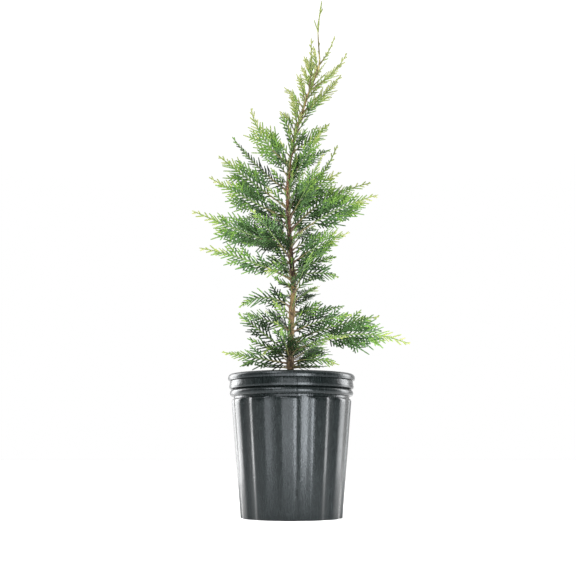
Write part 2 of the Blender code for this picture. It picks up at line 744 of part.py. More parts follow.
def build_growing_medium(parent):
    """The potting mix: it fills the pot to a little under the lip, and is flat under the trunk."""
    neck = SHOULDER_RADIUS - RIB_DEPTH - WALL - SOIL_CLEARANCE
    rings = [
        ribbed_ring(inner_radius(WALL) - SOIL_CLEARANCE, WALL + GAP),
        ribbed_ring(inner_radius(SHOULDER_HEIGHT) - SOIL_CLEARANCE, SHOULDER_HEIGHT - SOIL_BELOW_NECK),
        round_ring(neck, NECK_HEIGHT - SOIL_BELOW_NECK),
        round_ring(neck, SOIL_EDGE_HEIGHT),
        round_ring(SOIL_FLAT_RADIUS, SOIL_HEIGHT),
    ]
    named_object("growing_medium", stack(rings), POTTING_MIX, 0.95, parent)


def trunk_shape():
    """The trunk, whole from its flat cut at the soil to the tip of its leader."""
    low, high = TRUNK_ROUTE[0][0], TRUNK_ROUTE[-1][0]
    heights = [low, low + 0.003, low + 0.008]
    heights += [low + (high - low) * (i / (TRUNK_RINGS - 1)) ** 0.92 for i in range(1, TRUNK_RINGS)]
    points = [trunk_place(height) for height in heights]
    radii = [trunk_radius(height) for height in heights]
    mesh = tapered(points, radii, radii, Vector((0, 1, 0)), TRUNK_SIDES)
    for vert in mesh.verts:
        if vert.co.z < low + 0.001:
            vert.co.z = low
    return mesh, points, radii


def main():
    for thing in list(bpy.data.objects):
        bpy.data.objects.remove(thing)
    plant = bpy.data.objects.new("leyland_cypress", None)
    bpy.context.scene.collection.objects.link(plant)
    build_pot(plant)
    build_growing_medium(plant)
    placed = Placed()
    obstacles = Obstacles()
    trunk, points, radii = trunk_shape()
    placed.add("trunk", points, radii)
    obstacles.add("trunk", trunk)
    bark = BVHTree.FromBMesh(trunk)
    named_object("trunk", trunk, BARK_LOW, 0.85, plant)
    limbs = settle_limbs(placed)
    for limb in limbs:
        if limb.spray.bare:
            bough = seated(bough_shape, limb, bark)
            obstacles.add("bough", bough)
            named_object(f"bough_{limb.spray.name}", bough, BARK_YOUNG, 0.75, plant)
            stem = stem_shape(limb, limb.stem_start)
        else:
            stem = seated(stem_shape, limb, bark)
        obstacles.add(limb.spray.name, stem)
        named_object(f"foliage_{limb.spray.name}", stem, FOLIAGE[limb.spray.colour], 0.6, plant)
    laterals = grow_laterals(limbs, obstacles)
    for name, pieces in laterals.items():
        fuse(bpy.data.objects[f"foliage_{name}"], pieces)


main()
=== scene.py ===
"""The looks of a young leyland cypress in a ribbed nursery pot.

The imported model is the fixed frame: lengths are in metres, angles in degrees, +Z is up and the
plant is looked at along +Y. Each class builds and dresses one sub-assembly, and main() calls
them in order.
"""
from __future__ import annotations

import functools
import logging
import math
import random
from collections.abc import Iterator, Sequence
from dataclasses import dataclass, field
from enum import Enum

import bmesh
import bpy
import numpy as np
from mathutils import Matrix, Vector, noise


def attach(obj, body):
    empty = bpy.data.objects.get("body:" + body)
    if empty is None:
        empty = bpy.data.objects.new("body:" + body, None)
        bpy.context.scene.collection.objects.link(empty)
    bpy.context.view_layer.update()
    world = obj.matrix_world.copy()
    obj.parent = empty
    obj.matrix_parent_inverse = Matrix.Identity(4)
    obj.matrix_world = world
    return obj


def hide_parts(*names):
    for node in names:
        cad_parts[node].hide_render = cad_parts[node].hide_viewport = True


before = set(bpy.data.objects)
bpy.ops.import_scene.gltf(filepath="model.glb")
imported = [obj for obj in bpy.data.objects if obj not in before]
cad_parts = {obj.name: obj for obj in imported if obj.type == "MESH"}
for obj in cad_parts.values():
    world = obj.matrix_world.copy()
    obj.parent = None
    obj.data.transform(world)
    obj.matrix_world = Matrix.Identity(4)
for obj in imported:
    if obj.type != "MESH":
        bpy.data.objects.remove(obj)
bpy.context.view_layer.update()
LOG = logging.getLogger("cypress")

Array = np.ndarray
Material = bpy.types.Material
Piece = bpy.types.Object
Socket = bpy.types.NodeSocket
Range = tuple[float, float]
Row = tuple[float, float, float]
Colour = tuple[float, float, float]
Stops = tuple[tuple[float, Colour], ...]

UP = Vector((0.0, 0.0, 1.0))
FULL_TURN = 360.0


class Tint(Enum):
    """The green that a spray leans to, and how far it lies from shade (0) to light (1)."""

    BRIGHT = 0.66
    LIGHT = 0.54
    GREEN = 0.42
    DEEP = 0.20
    # The darkest lean is given to sprays deep inside the crown, as painted shade.
    DARK = 0.08


class Way(Enum):
    """The side of a stem or a lateral on which something grows."""

    LEFT = 1
    RIGHT = -1


def draw(low: float, high: float, *place: object) -> float:
    """A repeatable random number between two values, for a place that is named by words and numbers."""
    return random.Random(repr(place)).uniform(low, high)


def along(points: Sequence[Vector], distance: float) -> tuple[Vector, Vector]:
    """The place and the direction at a distance along a line of points.

    Args:
        points: The line.
        distance: How far along it.

    Returns:
        The place and the unit direction there.
    """
    for start, end in zip(points, points[1:]):
        span = (end - start).length
        if distance <= span or end is points[-1]:
            break
        distance -= span
    return start + (end - start) * (distance / span), (end - start) / span


def wavy(place: Vector, scale: float, layers: int) -> float:
    """Cloudy noise from about -1 to 1, with so many waves along a metre and so many finer layers."""
    return noise.fractal(place * scale, 0.9, 2.1, layers)


def pointing(side: float, rise: float = 0.0) -> Vector:
    """The unit direction at an angle seen from above and a rise, both in radians."""
    return Vector((math.cos(side) * math.cos(rise), math.sin(side) * math.cos(rise), math.sin(rise)))


def ring(first: Vector, second: Vector, sides: int) -> Iterator[tuple[float, Vector]]:
    """The turns of a ring of points about a line.

    Args:
        first: The direction of its first point.
        second: The direction a quarter of a turn on.
        sides: How many points it has.

    Yields:
        Each point's turn in radians and its direction.
    """
    for k in range(sides):
        turn = math.tau * k / sides
        yield turn, first * math.cos(turn) + second * math.sin(turn)


def apart(angles: Array | float, other: float, turn: float = FULL_TURN) -> Array | float:
    """How far angles lie from another one, in degrees, the shorter way round a turn."""
    return (angles - other + turn / 2) % turn - turn / 2


class NodeSheet:
    """A material's node tree, with short calls that add nodes and join them."""

    def __init__(self, name: str) -> None:
        """Starts a material.

        Args:
            name: The material's name.
        """
        self.material = bpy.data.materials.new(name)
        self.material.use_nodes = True
        self.tree = self.material.node_tree
        self.shader = self.tree.nodes["Principled BSDF"]

    def add(self, kind: str, inputs: dict[str | int, object] | None = None,
            **settings: object) -> bpy.types.Node:
        """Adds a node.

        Args:
            kind: The node's type.
            inputs: A value, or another node's output, for each input by name or number.
            settings: The node's own settings.

        Returns:
            The node.
        """
        node = self.tree.nodes.new(kind)
        for name, value in settings.items():
            setattr(node, name, value)
        for name, value in (inputs or {}).items():
            self.feed(node.inputs[name], value)
        return node

    def feed(self, socket: Socket, value: object) -> None:
        """Gives an input its value, or joins it to another node's output.

        Args:
            socket: The input.
            value: A plain value or an output socket.
        """
        if isinstance(value, Socket):
            self.tree.links.new(value, socket)
        else:
            socket.default_value = value

    def spots(self, scale: float, detail: float = 3.0, upright: float = 1.0) -> Socket:
        """A cloudy pattern over the object's own coordinates.

        Args:
            scale: How many spots lie along a metre.
            detail: How many finer layers it has.
            upright: What heights are multiplied by: less than 1 draws the spots out upwards.

        Returns:
            The pattern's output socket.
        """
        place = self.add("ShaderNodeTexCoord").outputs["Object"]
        drawn = {"Vector": place, "Scale": (1.0, 1.0, upright)}
        moved = self.add("ShaderNodeMapping", drawn).outputs["Vector"]
        return self.add("ShaderNodeTexNoise", {"Vector": moved, "Scale": scale, "Detail": detail}).outputs[0]

    def ramp(self, value: Socket, stops: Stops) -> Socket:
        """Colours that follow a value.

        Args:
            value: The socket that drives them.
            stops: Each value and its colour, lowest first.

        Returns:
            The colour's output socket.
        """
        node = self.add("ShaderNodeValToRGB", {"Fac": value})
        while len(node.color_ramp.elements) < len(stops):
            node.color_ramp.elements.new(1.0)
        for element, (place, colour) in zip(node.color_ramp.elements, stops):
            element.position = place
            element.color = (*colour, 1.0)
        return node.outputs["Color"]

    def spread(self, value: Socket, low: float, high: float,
               start: float = 0.3, end: float = 0.7) -> Socket:
        """A value mapped from the range between start and end onto that between low and high."""
        ends = {"From Min": start, "From Max": end, "To Min": low, "To Max": high}
        return self.add("ShaderNodeMapRange", {"Value": value, **ends}).outputs["Result"]

    def times(self, first: Socket, second: Socket) -> Socket:
        """The product of two colours."""
        node = self.add("ShaderNodeMix", {0: 1.0, 6: first, 7: second},
                        data_type="RGBA", blend_type="MULTIPLY")
        return node.outputs[2]

    def bump(self, height: Socket, depth: float, strength: float = 1.0,
             under: Socket | None = None) -> Socket:
        """A surface normal that follows a height.

        Args:
            height: The height's socket, from 0 to 1.
            depth: The relief in metres.
            strength: How much of it shows.
            under: The normal of a coarser relief below it.

        Returns:
            The normal's output socket.
        """
        inputs: dict[str | int, object] = {"Height": height, "Distance": depth, "Strength": strength}
        if under is not None:
            inputs["Normal"] = under
        return self.add("ShaderNodeBump", inputs).outputs["Normal"]

    def finish(self, **inputs: object) -> Material:
        """Sets the shader's sockets, each named with underscores for spaces.

        Args:
            inputs: A plain value or an output socket for each.

        Returns:
            The material.
        """
        for name, value in inputs.items():
            self.feed(self.shader.inputs[name.replace("_", " ")], value)
        return self.material


class Finish:
    """What a piece is dressed in."""

    name: str
    slot: str

    def make(self) -> Material:
        """The finish as a material."""
        raise NotImplementedError


@functools.cache
def material_of(finish: Finish) -> Material:
    """A finish's material, which is made once and then shared."""
    return finish.make()


@dataclass(frozen=True)
class PotPlastic(Finish):
    """Black moulded plastic, half glossy, with a fine grain, drawn streaks and a little dust."""

    name: str = "pot_plastic"
    slot: str = "pot"
    black: Colour = (0.002, 0.003, 0.003)
    dusty: Colour = (0.009, 0.012, 0.012)
    streaks: float = 900.0
    streak_upright: float = 0.06
    specks: float = 480.0
    speck_upright: float = 0.35
    grain: float = 700.0
    grain_upright: float = 0.45
    grain_depth: float = 0.00028
    roughness: Range = (0.11, 0.25)
    gloss: float = 0.23
    gloss_tint: Colour = (0.88, 0.94, 1.0)

    def make(self) -> Material:
        """The finish as a material."""
        sheet = NodeSheet(self.name)
        streaks = sheet.spots(self.streaks, 4.0, self.streak_upright)
        specks = sheet.spots(self.specks, 2.0, self.speck_upright)
        dust = sheet.spread(streaks, 0.0, 1.0, 0.40, 0.75)
        colour = sheet.ramp(dust, ((0.0, self.black), (1.0, self.dusty)))
        relief = sheet.bump(sheet.spots(self.grain, 3.0, self.grain_upright), self.grain_depth, 0.8)
        return sheet.finish(
            Base_Color=colour, Roughness=sheet.spread(specks, *self.roughness, 0.35, 0.65), Normal=relief,
            Specular_IOR_Level=self.gloss, Specular_Tint=(*self.gloss_tint, 1.0))


@dataclass(frozen=True)
class CrumbFinish(Finish):
    """Matter of the potting mix: mottled, rough and dull."""

    name: str
    dark: Colour
    light: Colour
    slot: str = "growing_medium"
    mottle: float = 900.0
    grit: float = 2400.0
    grit_depth: float = 0.0003
    roughness: Range = (0.82, 1.0)

    def make(self) -> Material:
        """The finish as a material."""
        sheet = NodeSheet(self.name)
        mottle = sheet.spots(self.mottle, 5.0)
        colour = sheet.ramp(sheet.spread(mottle, 0.0, 1.0), ((0.0, self.dark), (1.0, self.light)))
        return sheet.finish(Base_Color=colour, Roughness=sheet.spread(mottle, *self.roughness),
                            Normal=sheet.bump(sheet.spots(self.grit, 4.0), self.grit_depth, 0.8))


@dataclass(frozen=True)
class TrunkBark(Finish):
    """Thin bark: tan over the roots, darker at the waist, tan and then green above."""

    name: str = "trunk_bark"
    slot: str = "bark"
    low: float = 0.17
    high: float = 0.71
    stops: Stops = (
        (0.00, (0.050, 0.035, 0.022)),
        (0.07, (0.095, 0.068, 0.040)),
        (0.14, (0.165, 0.125, 0.062)),
        (0.24, (0.205, 0.150, 0.064)),
        (0.29, (0.060, 0.033, 0.021)),
        (0.37, (0.050, 0.028, 0.018)),
        (0.42, (0.092, 0.048, 0.029)),
        (0.50, (0.215, 0.104, 0.054)),
        (0.56, (0.200, 0.108, 0.056)),
        (0.62, (0.300, 0.180, 0.080)),
        (0.72, (0.390, 0.255, 0.110)),
        (0.82, (0.360, 0.320, 0.130)),
        (0.89, (0.420, 0.410, 0.170)),
        (1.00, (0.360, 0.430, 0.150)),
    )
    fibres: float = 620.0
    fibre_upright: float = 0.16
    fibre_depth: float = 0.0003
    fibre_tones: Stops = ((0.0, (0.16, 0.14, 0.13)), (0.45, (0.62, 0.60, 0.57)), (1.0, (1.25, 1.22, 1.16)))
    flakes: float = 210.0
    flake_upright: float = 0.5
    flake_depth: float = 0.0004
    patches: float = 120.0
    patch_upright: float = 0.35
    patch_tones: Stops = ((0.0, (0.40, 0.37, 0.34)), (1.0, (1.10, 1.08, 1.06)))
    roughness: Range = (0.72, 0.95)

    def make(self) -> Material:
        """The finish as a material."""
        sheet = NodeSheet(self.name)
        place = sheet.add("ShaderNodeTexCoord").outputs["Object"]
        height = sheet.add("ShaderNodeSeparateXYZ", {"Vector": place}).outputs["Z"]
        base = sheet.ramp(sheet.spread(height, 0.0, 1.0, self.low, self.high), self.stops)
        fibres = sheet.spots(self.fibres, 5.0, self.fibre_upright)
        flakes = sheet.spots(self.flakes, 4.0, self.flake_upright)
        patches = sheet.spots(self.patches, 3.0, self.patch_upright)
        shade = sheet.ramp(sheet.spread(fibres, 0.0, 1.0, 0.32, 0.68), self.fibre_tones)
        patches = sheet.ramp(sheet.spread(patches, 0.0, 1.0, 0.40, 0.60), self.patch_tones)
        coarse = sheet.bump(flakes, self.flake_depth, 0.5)
        return sheet.finish(
            Base_Color=sheet.times(sheet.times(base, shade), patches),
            Roughness=sheet.spread(flakes, *self.roughness),
            Normal=sheet.bump(fibres, self.fibre_depth, 0.8, coarse), Specular_IOR_Level=0.25)


@dataclass(frozen=True)
class TwigBark(Finish):
    """Smooth young bark of one tone, with darker scars."""

    name: str
    colour: Colour
    slot: str = "young_bark"
    scars: float = 700.0
    scar_depth: float = 0.0002
    darkest: float = 0.45
    lightest: float = 1.25
    roughness: Range = (0.85, 0.6)

    def make(self) -> Material:
        """The finish as a material."""
        sheet = NodeSheet(self.name)
        scars = sheet.spots(self.scars, 4.0)
        colour = sheet.ramp(sheet.spread(scars, 0.0, 1.0), (
            (0.0, tuple(self.darkest * part for part in self.colour)), (0.6, self.colour),
            (1.0, tuple(self.lightest * part for part in self.colour))))
        return sheet.finish(Base_Color=colour, Roughness=sheet.spread(scars, *self.roughness),
                            Normal=sheet.bump(scars, self.scar_depth, 0.7))


@dataclass(frozen=True)
class LeafGreen(Finish):
    """One green of the scale leaves, which wanders a little from scale to scale."""

    name: str
    slot: str
    colour: Colour
    scales: float = 520.0
    grain: float = 1500.0
    grain_depth: float = 0.0002
    darkest: Colour = (0.62, 0.62, 0.62)
    lightest: Colour = (1.35, 1.22, 1.10)
    roughness: Range = (0.62, 0.46)

    def make(self) -> Material:
        """The finish as a material."""
        sheet = NodeSheet(self.name)
        scales = sheet.spots(self.scales, 3.0)
        dark, light = (tuple(much * part for much, part in zip(change, self.colour))
                       for change in (self.darkest, self.lightest))
        colour = sheet.ramp(sheet.spread(scales, 0.0, 1.0), ((0.0, dark), (0.5, self.colour), (1.0, light)))
        relief = sheet.bump(sheet.spots(self.grain, 2.0), self.grain_depth, 0.5)
        return sheet.finish(Base_Color=colour, Roughness=sheet.spread(scales, *self.roughness),
                            Normal=relief, Specular_IOR_Level=0.10)


@dataclass(frozen=True)
class PaleFloor(Finish):
    """The studio's pale floor, which no slot stands for."""

    name: str = "studio_floor"
    colour: Colour = (0.93, 0.93, 0.93)
    roughness: Range = (0.75, 0.9)

    def make(self) -> Material:
        """The finish as a material."""
        sheet = NodeSheet(self.name)
        rough = sheet.spread(sheet.spots(3.0), *self.roughness)
        return sheet.finish(Base_Color=(*self.colour, 1.0), Roughness=rough)


class LeafFinish(Enum):
    """The greens of the crown, from the shade inside it to the tips of new growth."""

    SHADE = LeafGreen("leaves_shade", "foliage_deep", (0.007, 0.017, 0.005))
    DEEP = LeafGreen("leaves_deep", "foliage_deep", (0.020, 0.047, 0.012))
    BLUE = LeafGreen("leaves_blue", "foliage_deep", (0.050, 0.102, 0.036))
    GREEN = LeafGreen("leaves_green", "foliage_green", (0.091, 0.180, 0.034))
    FRESH = LeafGreen("leaves_fresh", "foliage_green", (0.138, 0.222, 0.044))
    BRIGHT = LeafGreen("leaves_bright", "foliage_bright", (0.196, 0.248, 0.070))
    LIME = LeafGreen("leaves_lime", "foliage_bright", (0.262, 0.298, 0.114))

    @classmethod
    def of_tone(cls, tone: float) -> LeafFinish:
        """The green for a tone from 0, shade, to 1, new growth."""
        greens = list(cls)
        return greens[min(max(int(tone * len(greens)), 0), len(greens) - 1)]


@dataclass
class Shell:
    """Points and faces gathered from many shapes, to be joined into one piece."""

    points: list[Array] = field(default_factory=list)
    faces: list[Array] = field(default_factory=list)
    count: int = 0
    nodes: set[str] = field(default_factory=set)

    def add(self, points: Array, *faces: Array, node: str = "") -> None:
        """Adds a shape.

        Args:
            points: Its points, one in a row.
            faces: The point numbers of its faces: each array's faces have one count of corners.
            node: The CAD node that the shape stands for, if any.
        """
        self.points.append(points)
        self.faces.extend(group + self.count for group in faces)
        self.count += len(points)
        if node:
            self.nodes.add(node)

    def build(self, name: str, finish: Finish, smooth: float = 0.0) -> Piece:
        """Joins everything into one object.

        Args:
            name: The object's name.
            finish: What it is dressed in.
            smooth: The angle below which faces shade into each other, or 0 for flat faces.

        Returns:
            The object.
        """
        loops = np.concatenate([faces.ravel() for faces in self.faces])
        sizes = np.concatenate([np.full(len(faces), faces.shape[1]) for faces in self.faces])
        points = np.concatenate(self.points)
        data = bpy.data.meshes.new(name)
        data.vertices.add(len(points))
        data.vertices.foreach_set("co", points.astype(np.float32).ravel())
        data.loops.add(len(loops))
        data.loops.foreach_set("vertex_index", loops.astype(np.int32))
        data.polygons.add(len(sizes))
        data.polygons.foreach_set("loop_start", (np.cumsum(sizes) - sizes).astype(np.int32))
        data.polygons.foreach_set("loop_total", sizes.astype(np.int32))
        data.update(calc_edges=True)
        data.validate()
        if smooth:
            data.shade_smooth()
            data.set_sharp_from_angle(angle=math.radians(smooth))
        else:
            data.shade_flat()
        data.materials.append(material_of(finish))
        thing = bpy.data.objects.new(name, data)
        bpy.context.scene.collection.objects.link(thing)
        return thing

    def make(self, name: str, finish: Finish, smooth: float = 0.0) -> Piece:
        """Joins everything into one piece that rides on the plant's body.

        Args:
            name: The piece's name.
            finish: What it is dressed in.
            smooth: The angle below which faces shade into each other, or 0 for flat faces.

        Returns:
            The piece.
        """
        piece = self.build(name, finish, smooth)
        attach(piece, "root")
        if self.nodes:
            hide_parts(*sorted(self.nodes))
        return piece


def ring_faces(rings: int, sides: int) -> Array:
    """The four-cornered faces between rings of points that are numbered ring after ring.

    Args:
        rings: How many rings there are.
        sides: How many points each has.

    Returns:
        The faces' point numbers.
    """
    steps = np.arange(sides)
    following = (steps + 1) % sides
    corner = np.stack([steps, following, following + sides, steps + sides], axis=1)
    return (corner[None] + sides * np.arange(rings - 1)[:, None, None]).reshape(-1, 4)


def end_faces(rings: int, sides: int) -> Array:
    """The two faces that close the first and the last of such rings."""
    return np.array([np.arange(sides)[::-1], sides * (rings - 1) + np.arange(sides)])


@dataclass(frozen=True)
class TrunkLine:
    """The trunk's middle line and thickness: heights and sideways places, as the solids have them."""

    route: tuple[Row, ...] = (
        (0.1703, -0.001, 0.000), (0.215, -0.002, 0.001), (0.260, 0.000, 0.002), (0.300, 0.003, 0.001),
        (0.335, 0.000, -0.001), (0.375, -0.003, -0.001), (0.415, -0.005, 0.001), (0.464, -0.004, 0.002),
        (0.510, 0.004, 0.001), (0.560, 0.019, 0.000), (0.615, 0.040, -0.001), (0.645, 0.038, 0.000),
        (0.670, 0.037, 0.001), (0.7095, 0.043, 0.000))
    base_radius: float = 0.0042
    tip_radius: float = 0.00035
    flare: float = 0.0024
    flare_height: float = 0.006
    easing: float = 0.008

    @property
    def low(self) -> float:
        """The height of its cut foot."""
        return self.route[0][0]

    @property
    def high(self) -> float:
        """The height of its tip."""
        return self.route[-1][0]

    def row(self, height: float) -> list[float]:
        """The route's row at a height, between the listed ones.

        Args:
            height: The height, which is kept within the route.

        Returns:
            The height and the two sideways places.
        """
        height = min(max(height, self.low), self.high)
        for low, high in zip(self.route, self.route[1:]):
            if height <= high[0]:
                break
        share = (height - low[0]) / (high[0] - low[0])
        return [a + (b - a) * share for a, b in zip(low, high)]

    def middle(self, height: float) -> Vector:
        """The middle of the trunk at a height, eased so that its bends are round."""
        rows = [self.row(height + self.easing * step) for step in (-1, 0, 1)]
        return Vector((sum(row[1] for row in rows) / 3, sum(row[2] for row in rows) / 3, height))

    def direction(self, height: float, step: float = 0.004) -> Vector:
        """The direction in which the trunk grows at a height."""
        return (self.middle(height + step) - self.middle(height)).normalized()

    def radius(self, height: float) -> float:
        """The trunk's radius at a height, with the flare over its roots."""
        share = (height - self.low) / (self.high - self.low)
        flare = self.flare * math.exp(-(height - self.low) / self.flare_height)
        return self.base_radius * (1 - share) + self.tip_radius + flare


# A spray's stem thins evenly, and a longer spray is bare over more of its tip.
STEM_LEAST = 0.0006
STEM_BY_LENGTH = 0.0055
STEM_THINNING = 0.72
LONGEST_FULL_SPRAY = 0.05
BARE_TIP_BY_LENGTH = 2.2
BARE_TIP_VARIATION = 0.05
BARE_TIP_LEAST = 0.02


@dataclass(frozen=True)
class Spray:
    """One flat spray of the crown, with the bare bough that may carry it.

    Attributes:
        name: Its name, as its CAD nodes have it.
        height: Where it leaves the trunk.
        heading: Its heading seen from above: 0 right, 90 away, 180 left.
        rise: Its rise above the level where it leaves the trunk.
        turn: How far its rise turns along it.
        length: Its length.
        reach: The length of its longest laterals.
        roll: The roll of its plane: 0 upright, 90 flat.
        bare: The length of bare bough that carries it.
        tint: The green that it leans to: the darker greens of sprays low, behind and deep in the crown are
            painted shade.
        bare_tip: The share of it past the last laterals, where it isn't left to the rule.
    """

    name: str
    height: float
    heading: float
    rise: float
    turn: float
    length: float
    reach: float
    roll: float
    bare: float
    tint: Tint
    bare_tip: float | None = None

    def radius(self, distance: float) -> float:
        """The stem's radius, which thins evenly from the trunk to its tip."""
        thickest = STEM_LEAST + STEM_BY_LENGTH * self.length
        return thickest * (1 - STEM_THINNING * distance / self.length)

    def bare_share(self) -> float:
        """The share of it past its last laterals: its own, or one that grows with its length."""
        if self.bare_tip is not None:
            return self.bare_tip
        varied = draw(-BARE_TIP_VARIATION, BARE_TIP_VARIATION, self.name, "bare tip")
        return max(BARE_TIP_BY_LENGTH * (self.length - LONGEST_FULL_SPRAY) + varied, BARE_TIP_LEAST)


# The sprays that show: the top, the left, the right and the front. Each row has the name, height,
# heading, rise, turn, length, reach, roll, bare bough and green, and a bare tip of its own, if any.


# The deep and darkest greens of the low, rear and inner sprays are painted shade.
SPRAYS = (
    Spray("fork_right", 0.615, 0, 50, 24, 0.047, 0.009, 10, 0, Tint.BRIGHT, 0.60),
    Spray("top_upright", 0.578, 0, 87, 3, 0.076, 0.015, 5, 0, Tint.BRIGHT, 0.40),
    Spray("top_left_upper", 0.560, 186, 76, 10, 0.042, 0.014, 5, 0, Tint.BRIGHT),
    Spray("top_left_lower", 0.526, 176, 76, 10, 0.046, 0.015, 15, 0, Tint.BRIGHT),
    Spray("top_right_long", 0.578, 346, 24, 40, 0.074, 0.021, 8, 0, Tint.BRIGHT, 0.28),
    Spray("top_right_second", 0.545, 14, 38, 18, 0.085, 0.024, 5, 0, Tint.BRIGHT, 0.10),
    Spray("top_right_third", 0.530, 332, 50, -40, 0.062, 0.024, 20, 0, Tint.GREEN),
    Spray("upper_left_fan", 0.472, 172, 36, 42, 0.102, 0.042, 4, 0, Tint.LIGHT, 0.20),
    Spray("left_climber", 0.434, 156, 37, 18, 0.122, 0.020, 12, 0, Tint.DARK, 0.10),
    Spray("left_broad", 0.410, 186, 35, 5, 0.120, 0.046, 6, 0.020, Tint.GREEN),
    Spray("left_second", 0.394, 202, 21, 0, 0.125, 0.041, 12, 0.022, Tint.GREEN),
    Spray("left_inner", 0.388, 130, 24, -20, 0.110, 0.042, 30, 0, Tint.DARK),
    Spray("left_long", 0.353, 194, 17, 1, 0.143, 0.044, 14, 0.030, Tint.GREEN, 0.28),
    Spray("left_behind", 0.366, 142, 8, 12, 0.130, 0.044, 35, 0, Tint.DEEP),
    Spray("left_drooper", 0.311, 190, 27, -18, 0.133, 0.036, 16, 0.024, Tint.GREEN, 0.22),
    Spray("left_arch", 0.272, 196, 44, -88, 0.080, 0.028, 12, 0, Tint.DEEP),
    Spray("left_thin", 0.244, 164, 26, -12, 0.074, 0.028, 20, 0, Tint.DEEP),
    Spray("left_low", 0.212, 178, 38, 0, 0.090, 0.031, 10, 0.018, Tint.DEEP),
    Spray("left_foot", 0.199, 190, 9, 0, 0.092, 0.030, 22, 0, Tint.GREEN),
    Spray("left_foot_front", 0.222, 226, 6, -44, 0.064, 0.022, 40, 0, Tint.GREEN),
    Spray("right_upper", 0.488, 8, 38, 4, 0.070, 0.032, 10, 0, Tint.GREEN),
    Spray("right_upper_dark", 0.458, 24, 46, -24, 0.080, 0.028, 25, 0, Tint.DEEP),
    Spray("right_fan", 0.395, 14, 62, -38, 0.104, 0.042, 6, 0.022, Tint.GREEN, 0.22),
    Spray("right_whip", 0.410, 24, 37, 30, 0.130, 0.022, 14, 0, Tint.GREEN),
    Spray("right_long", 0.366, 350, 38, -25, 0.134, 0.050, 8, 0.030, Tint.GREEN),
    Spray("right_behind", 0.377, 24, 50, -34, 0.156, 0.044, 20, 0, Tint.GREEN),
    Spray("right_middle", 0.333, 330, 31, -24, 0.098, 0.046, 24, 0, Tint.GREEN),
    Spray("right_sparse", 0.314, 14, 26, -44, 0.068, 0.031, 10, 0, Tint.DEEP),
    Spray("right_thin", 0.268, 24, 6, 8, 0.084, 0.018, 14, 0, Tint.DEEP),
    Spray("right_low_upper", 0.229, 8, 23, -13, 0.130, 0.036, 6, 0.028, Tint.GREEN),
    Spray("right_low_long", 0.212, 346, 30, -54, 0.166, 0.047, 14, 0.044, Tint.GREEN, 0.26),
    Spray("right_foot", 0.200, 336, 16, -40, 0.070, 0.024, 20, 0, Tint.GREEN),
    Spray("front_high", 0.444, 334, 52, 6, 0.084, 0.038, 8, 0, Tint.GREEN),
    Spray("front_upper", 0.392, 322, 52, 2, 0.104, 0.042, 14, 0, Tint.GREEN),
    Spray("front_left", 0.338, 240, 30, -12, 0.118, 0.042, 40, 0, Tint.DEEP),
    Spray("front_middle", 0.292, 286, 30, -10, 0.098, 0.036, 50, 0, Tint.DEEP),
    Spray("front_low", 0.240, 334, 22, -16, 0.088, 0.036, 10, 0, Tint.DEEP),
    Spray("front_foot", 0.204, 262, 20, -6, 0.104, 0.036, 60, 0, Tint.DEEP),
)


@dataclass(frozen=True)
class FarSide:
    """The rule for the far side's sprays, which climb the trunk and swing from side to side."""

    count: int = 8
    lowest: float = 0.202
    step: float = 0.038
    heading: float = 90.0
    swing: float = 34.0
    swing_share: Range = (0.3, 1.0)
    rise: float = 22.0
    rise_step: float = 3.0
    turn: float = -10.0
    roll: Range = (30.0, 80.0)
    length: float = 0.144
    narrowing: float = 0.0090
    waist: float = 0.030
    waist_height: float = 0.290
    waist_spread: float = 0.030
    reach_share: float = 0.35
    bare: tuple[int, ...] = (4,)
    bare_length: float = 0.030

    def sprays(self) -> Iterator[Spray]:
        """Each spray in turn, shorter at the crown's waist and towards the top."""
        for i in range(self.count):
            height = self.lowest + self.step * i
            waist = self.waist * math.exp(-((height - self.waist_height) / self.waist_spread) ** 2)
            length = self.length - self.narrowing * i - waist
            swing = self.swing * (1 if i % 2 else -1) * draw(*self.swing_share, "swing", i)
            yield Spray(
                name=f"back_{i + 1}", height=height, heading=self.heading + swing,
                rise=self.rise + self.rise_step * i, turn=self.turn, length=length,
                reach=length * self.reach_share, roll=draw(*self.roll, "roll", i),
                bare=self.bare_length if i in self.bare else 0, tint=Tint.DEEP if i % 3 else Tint.GREEN)
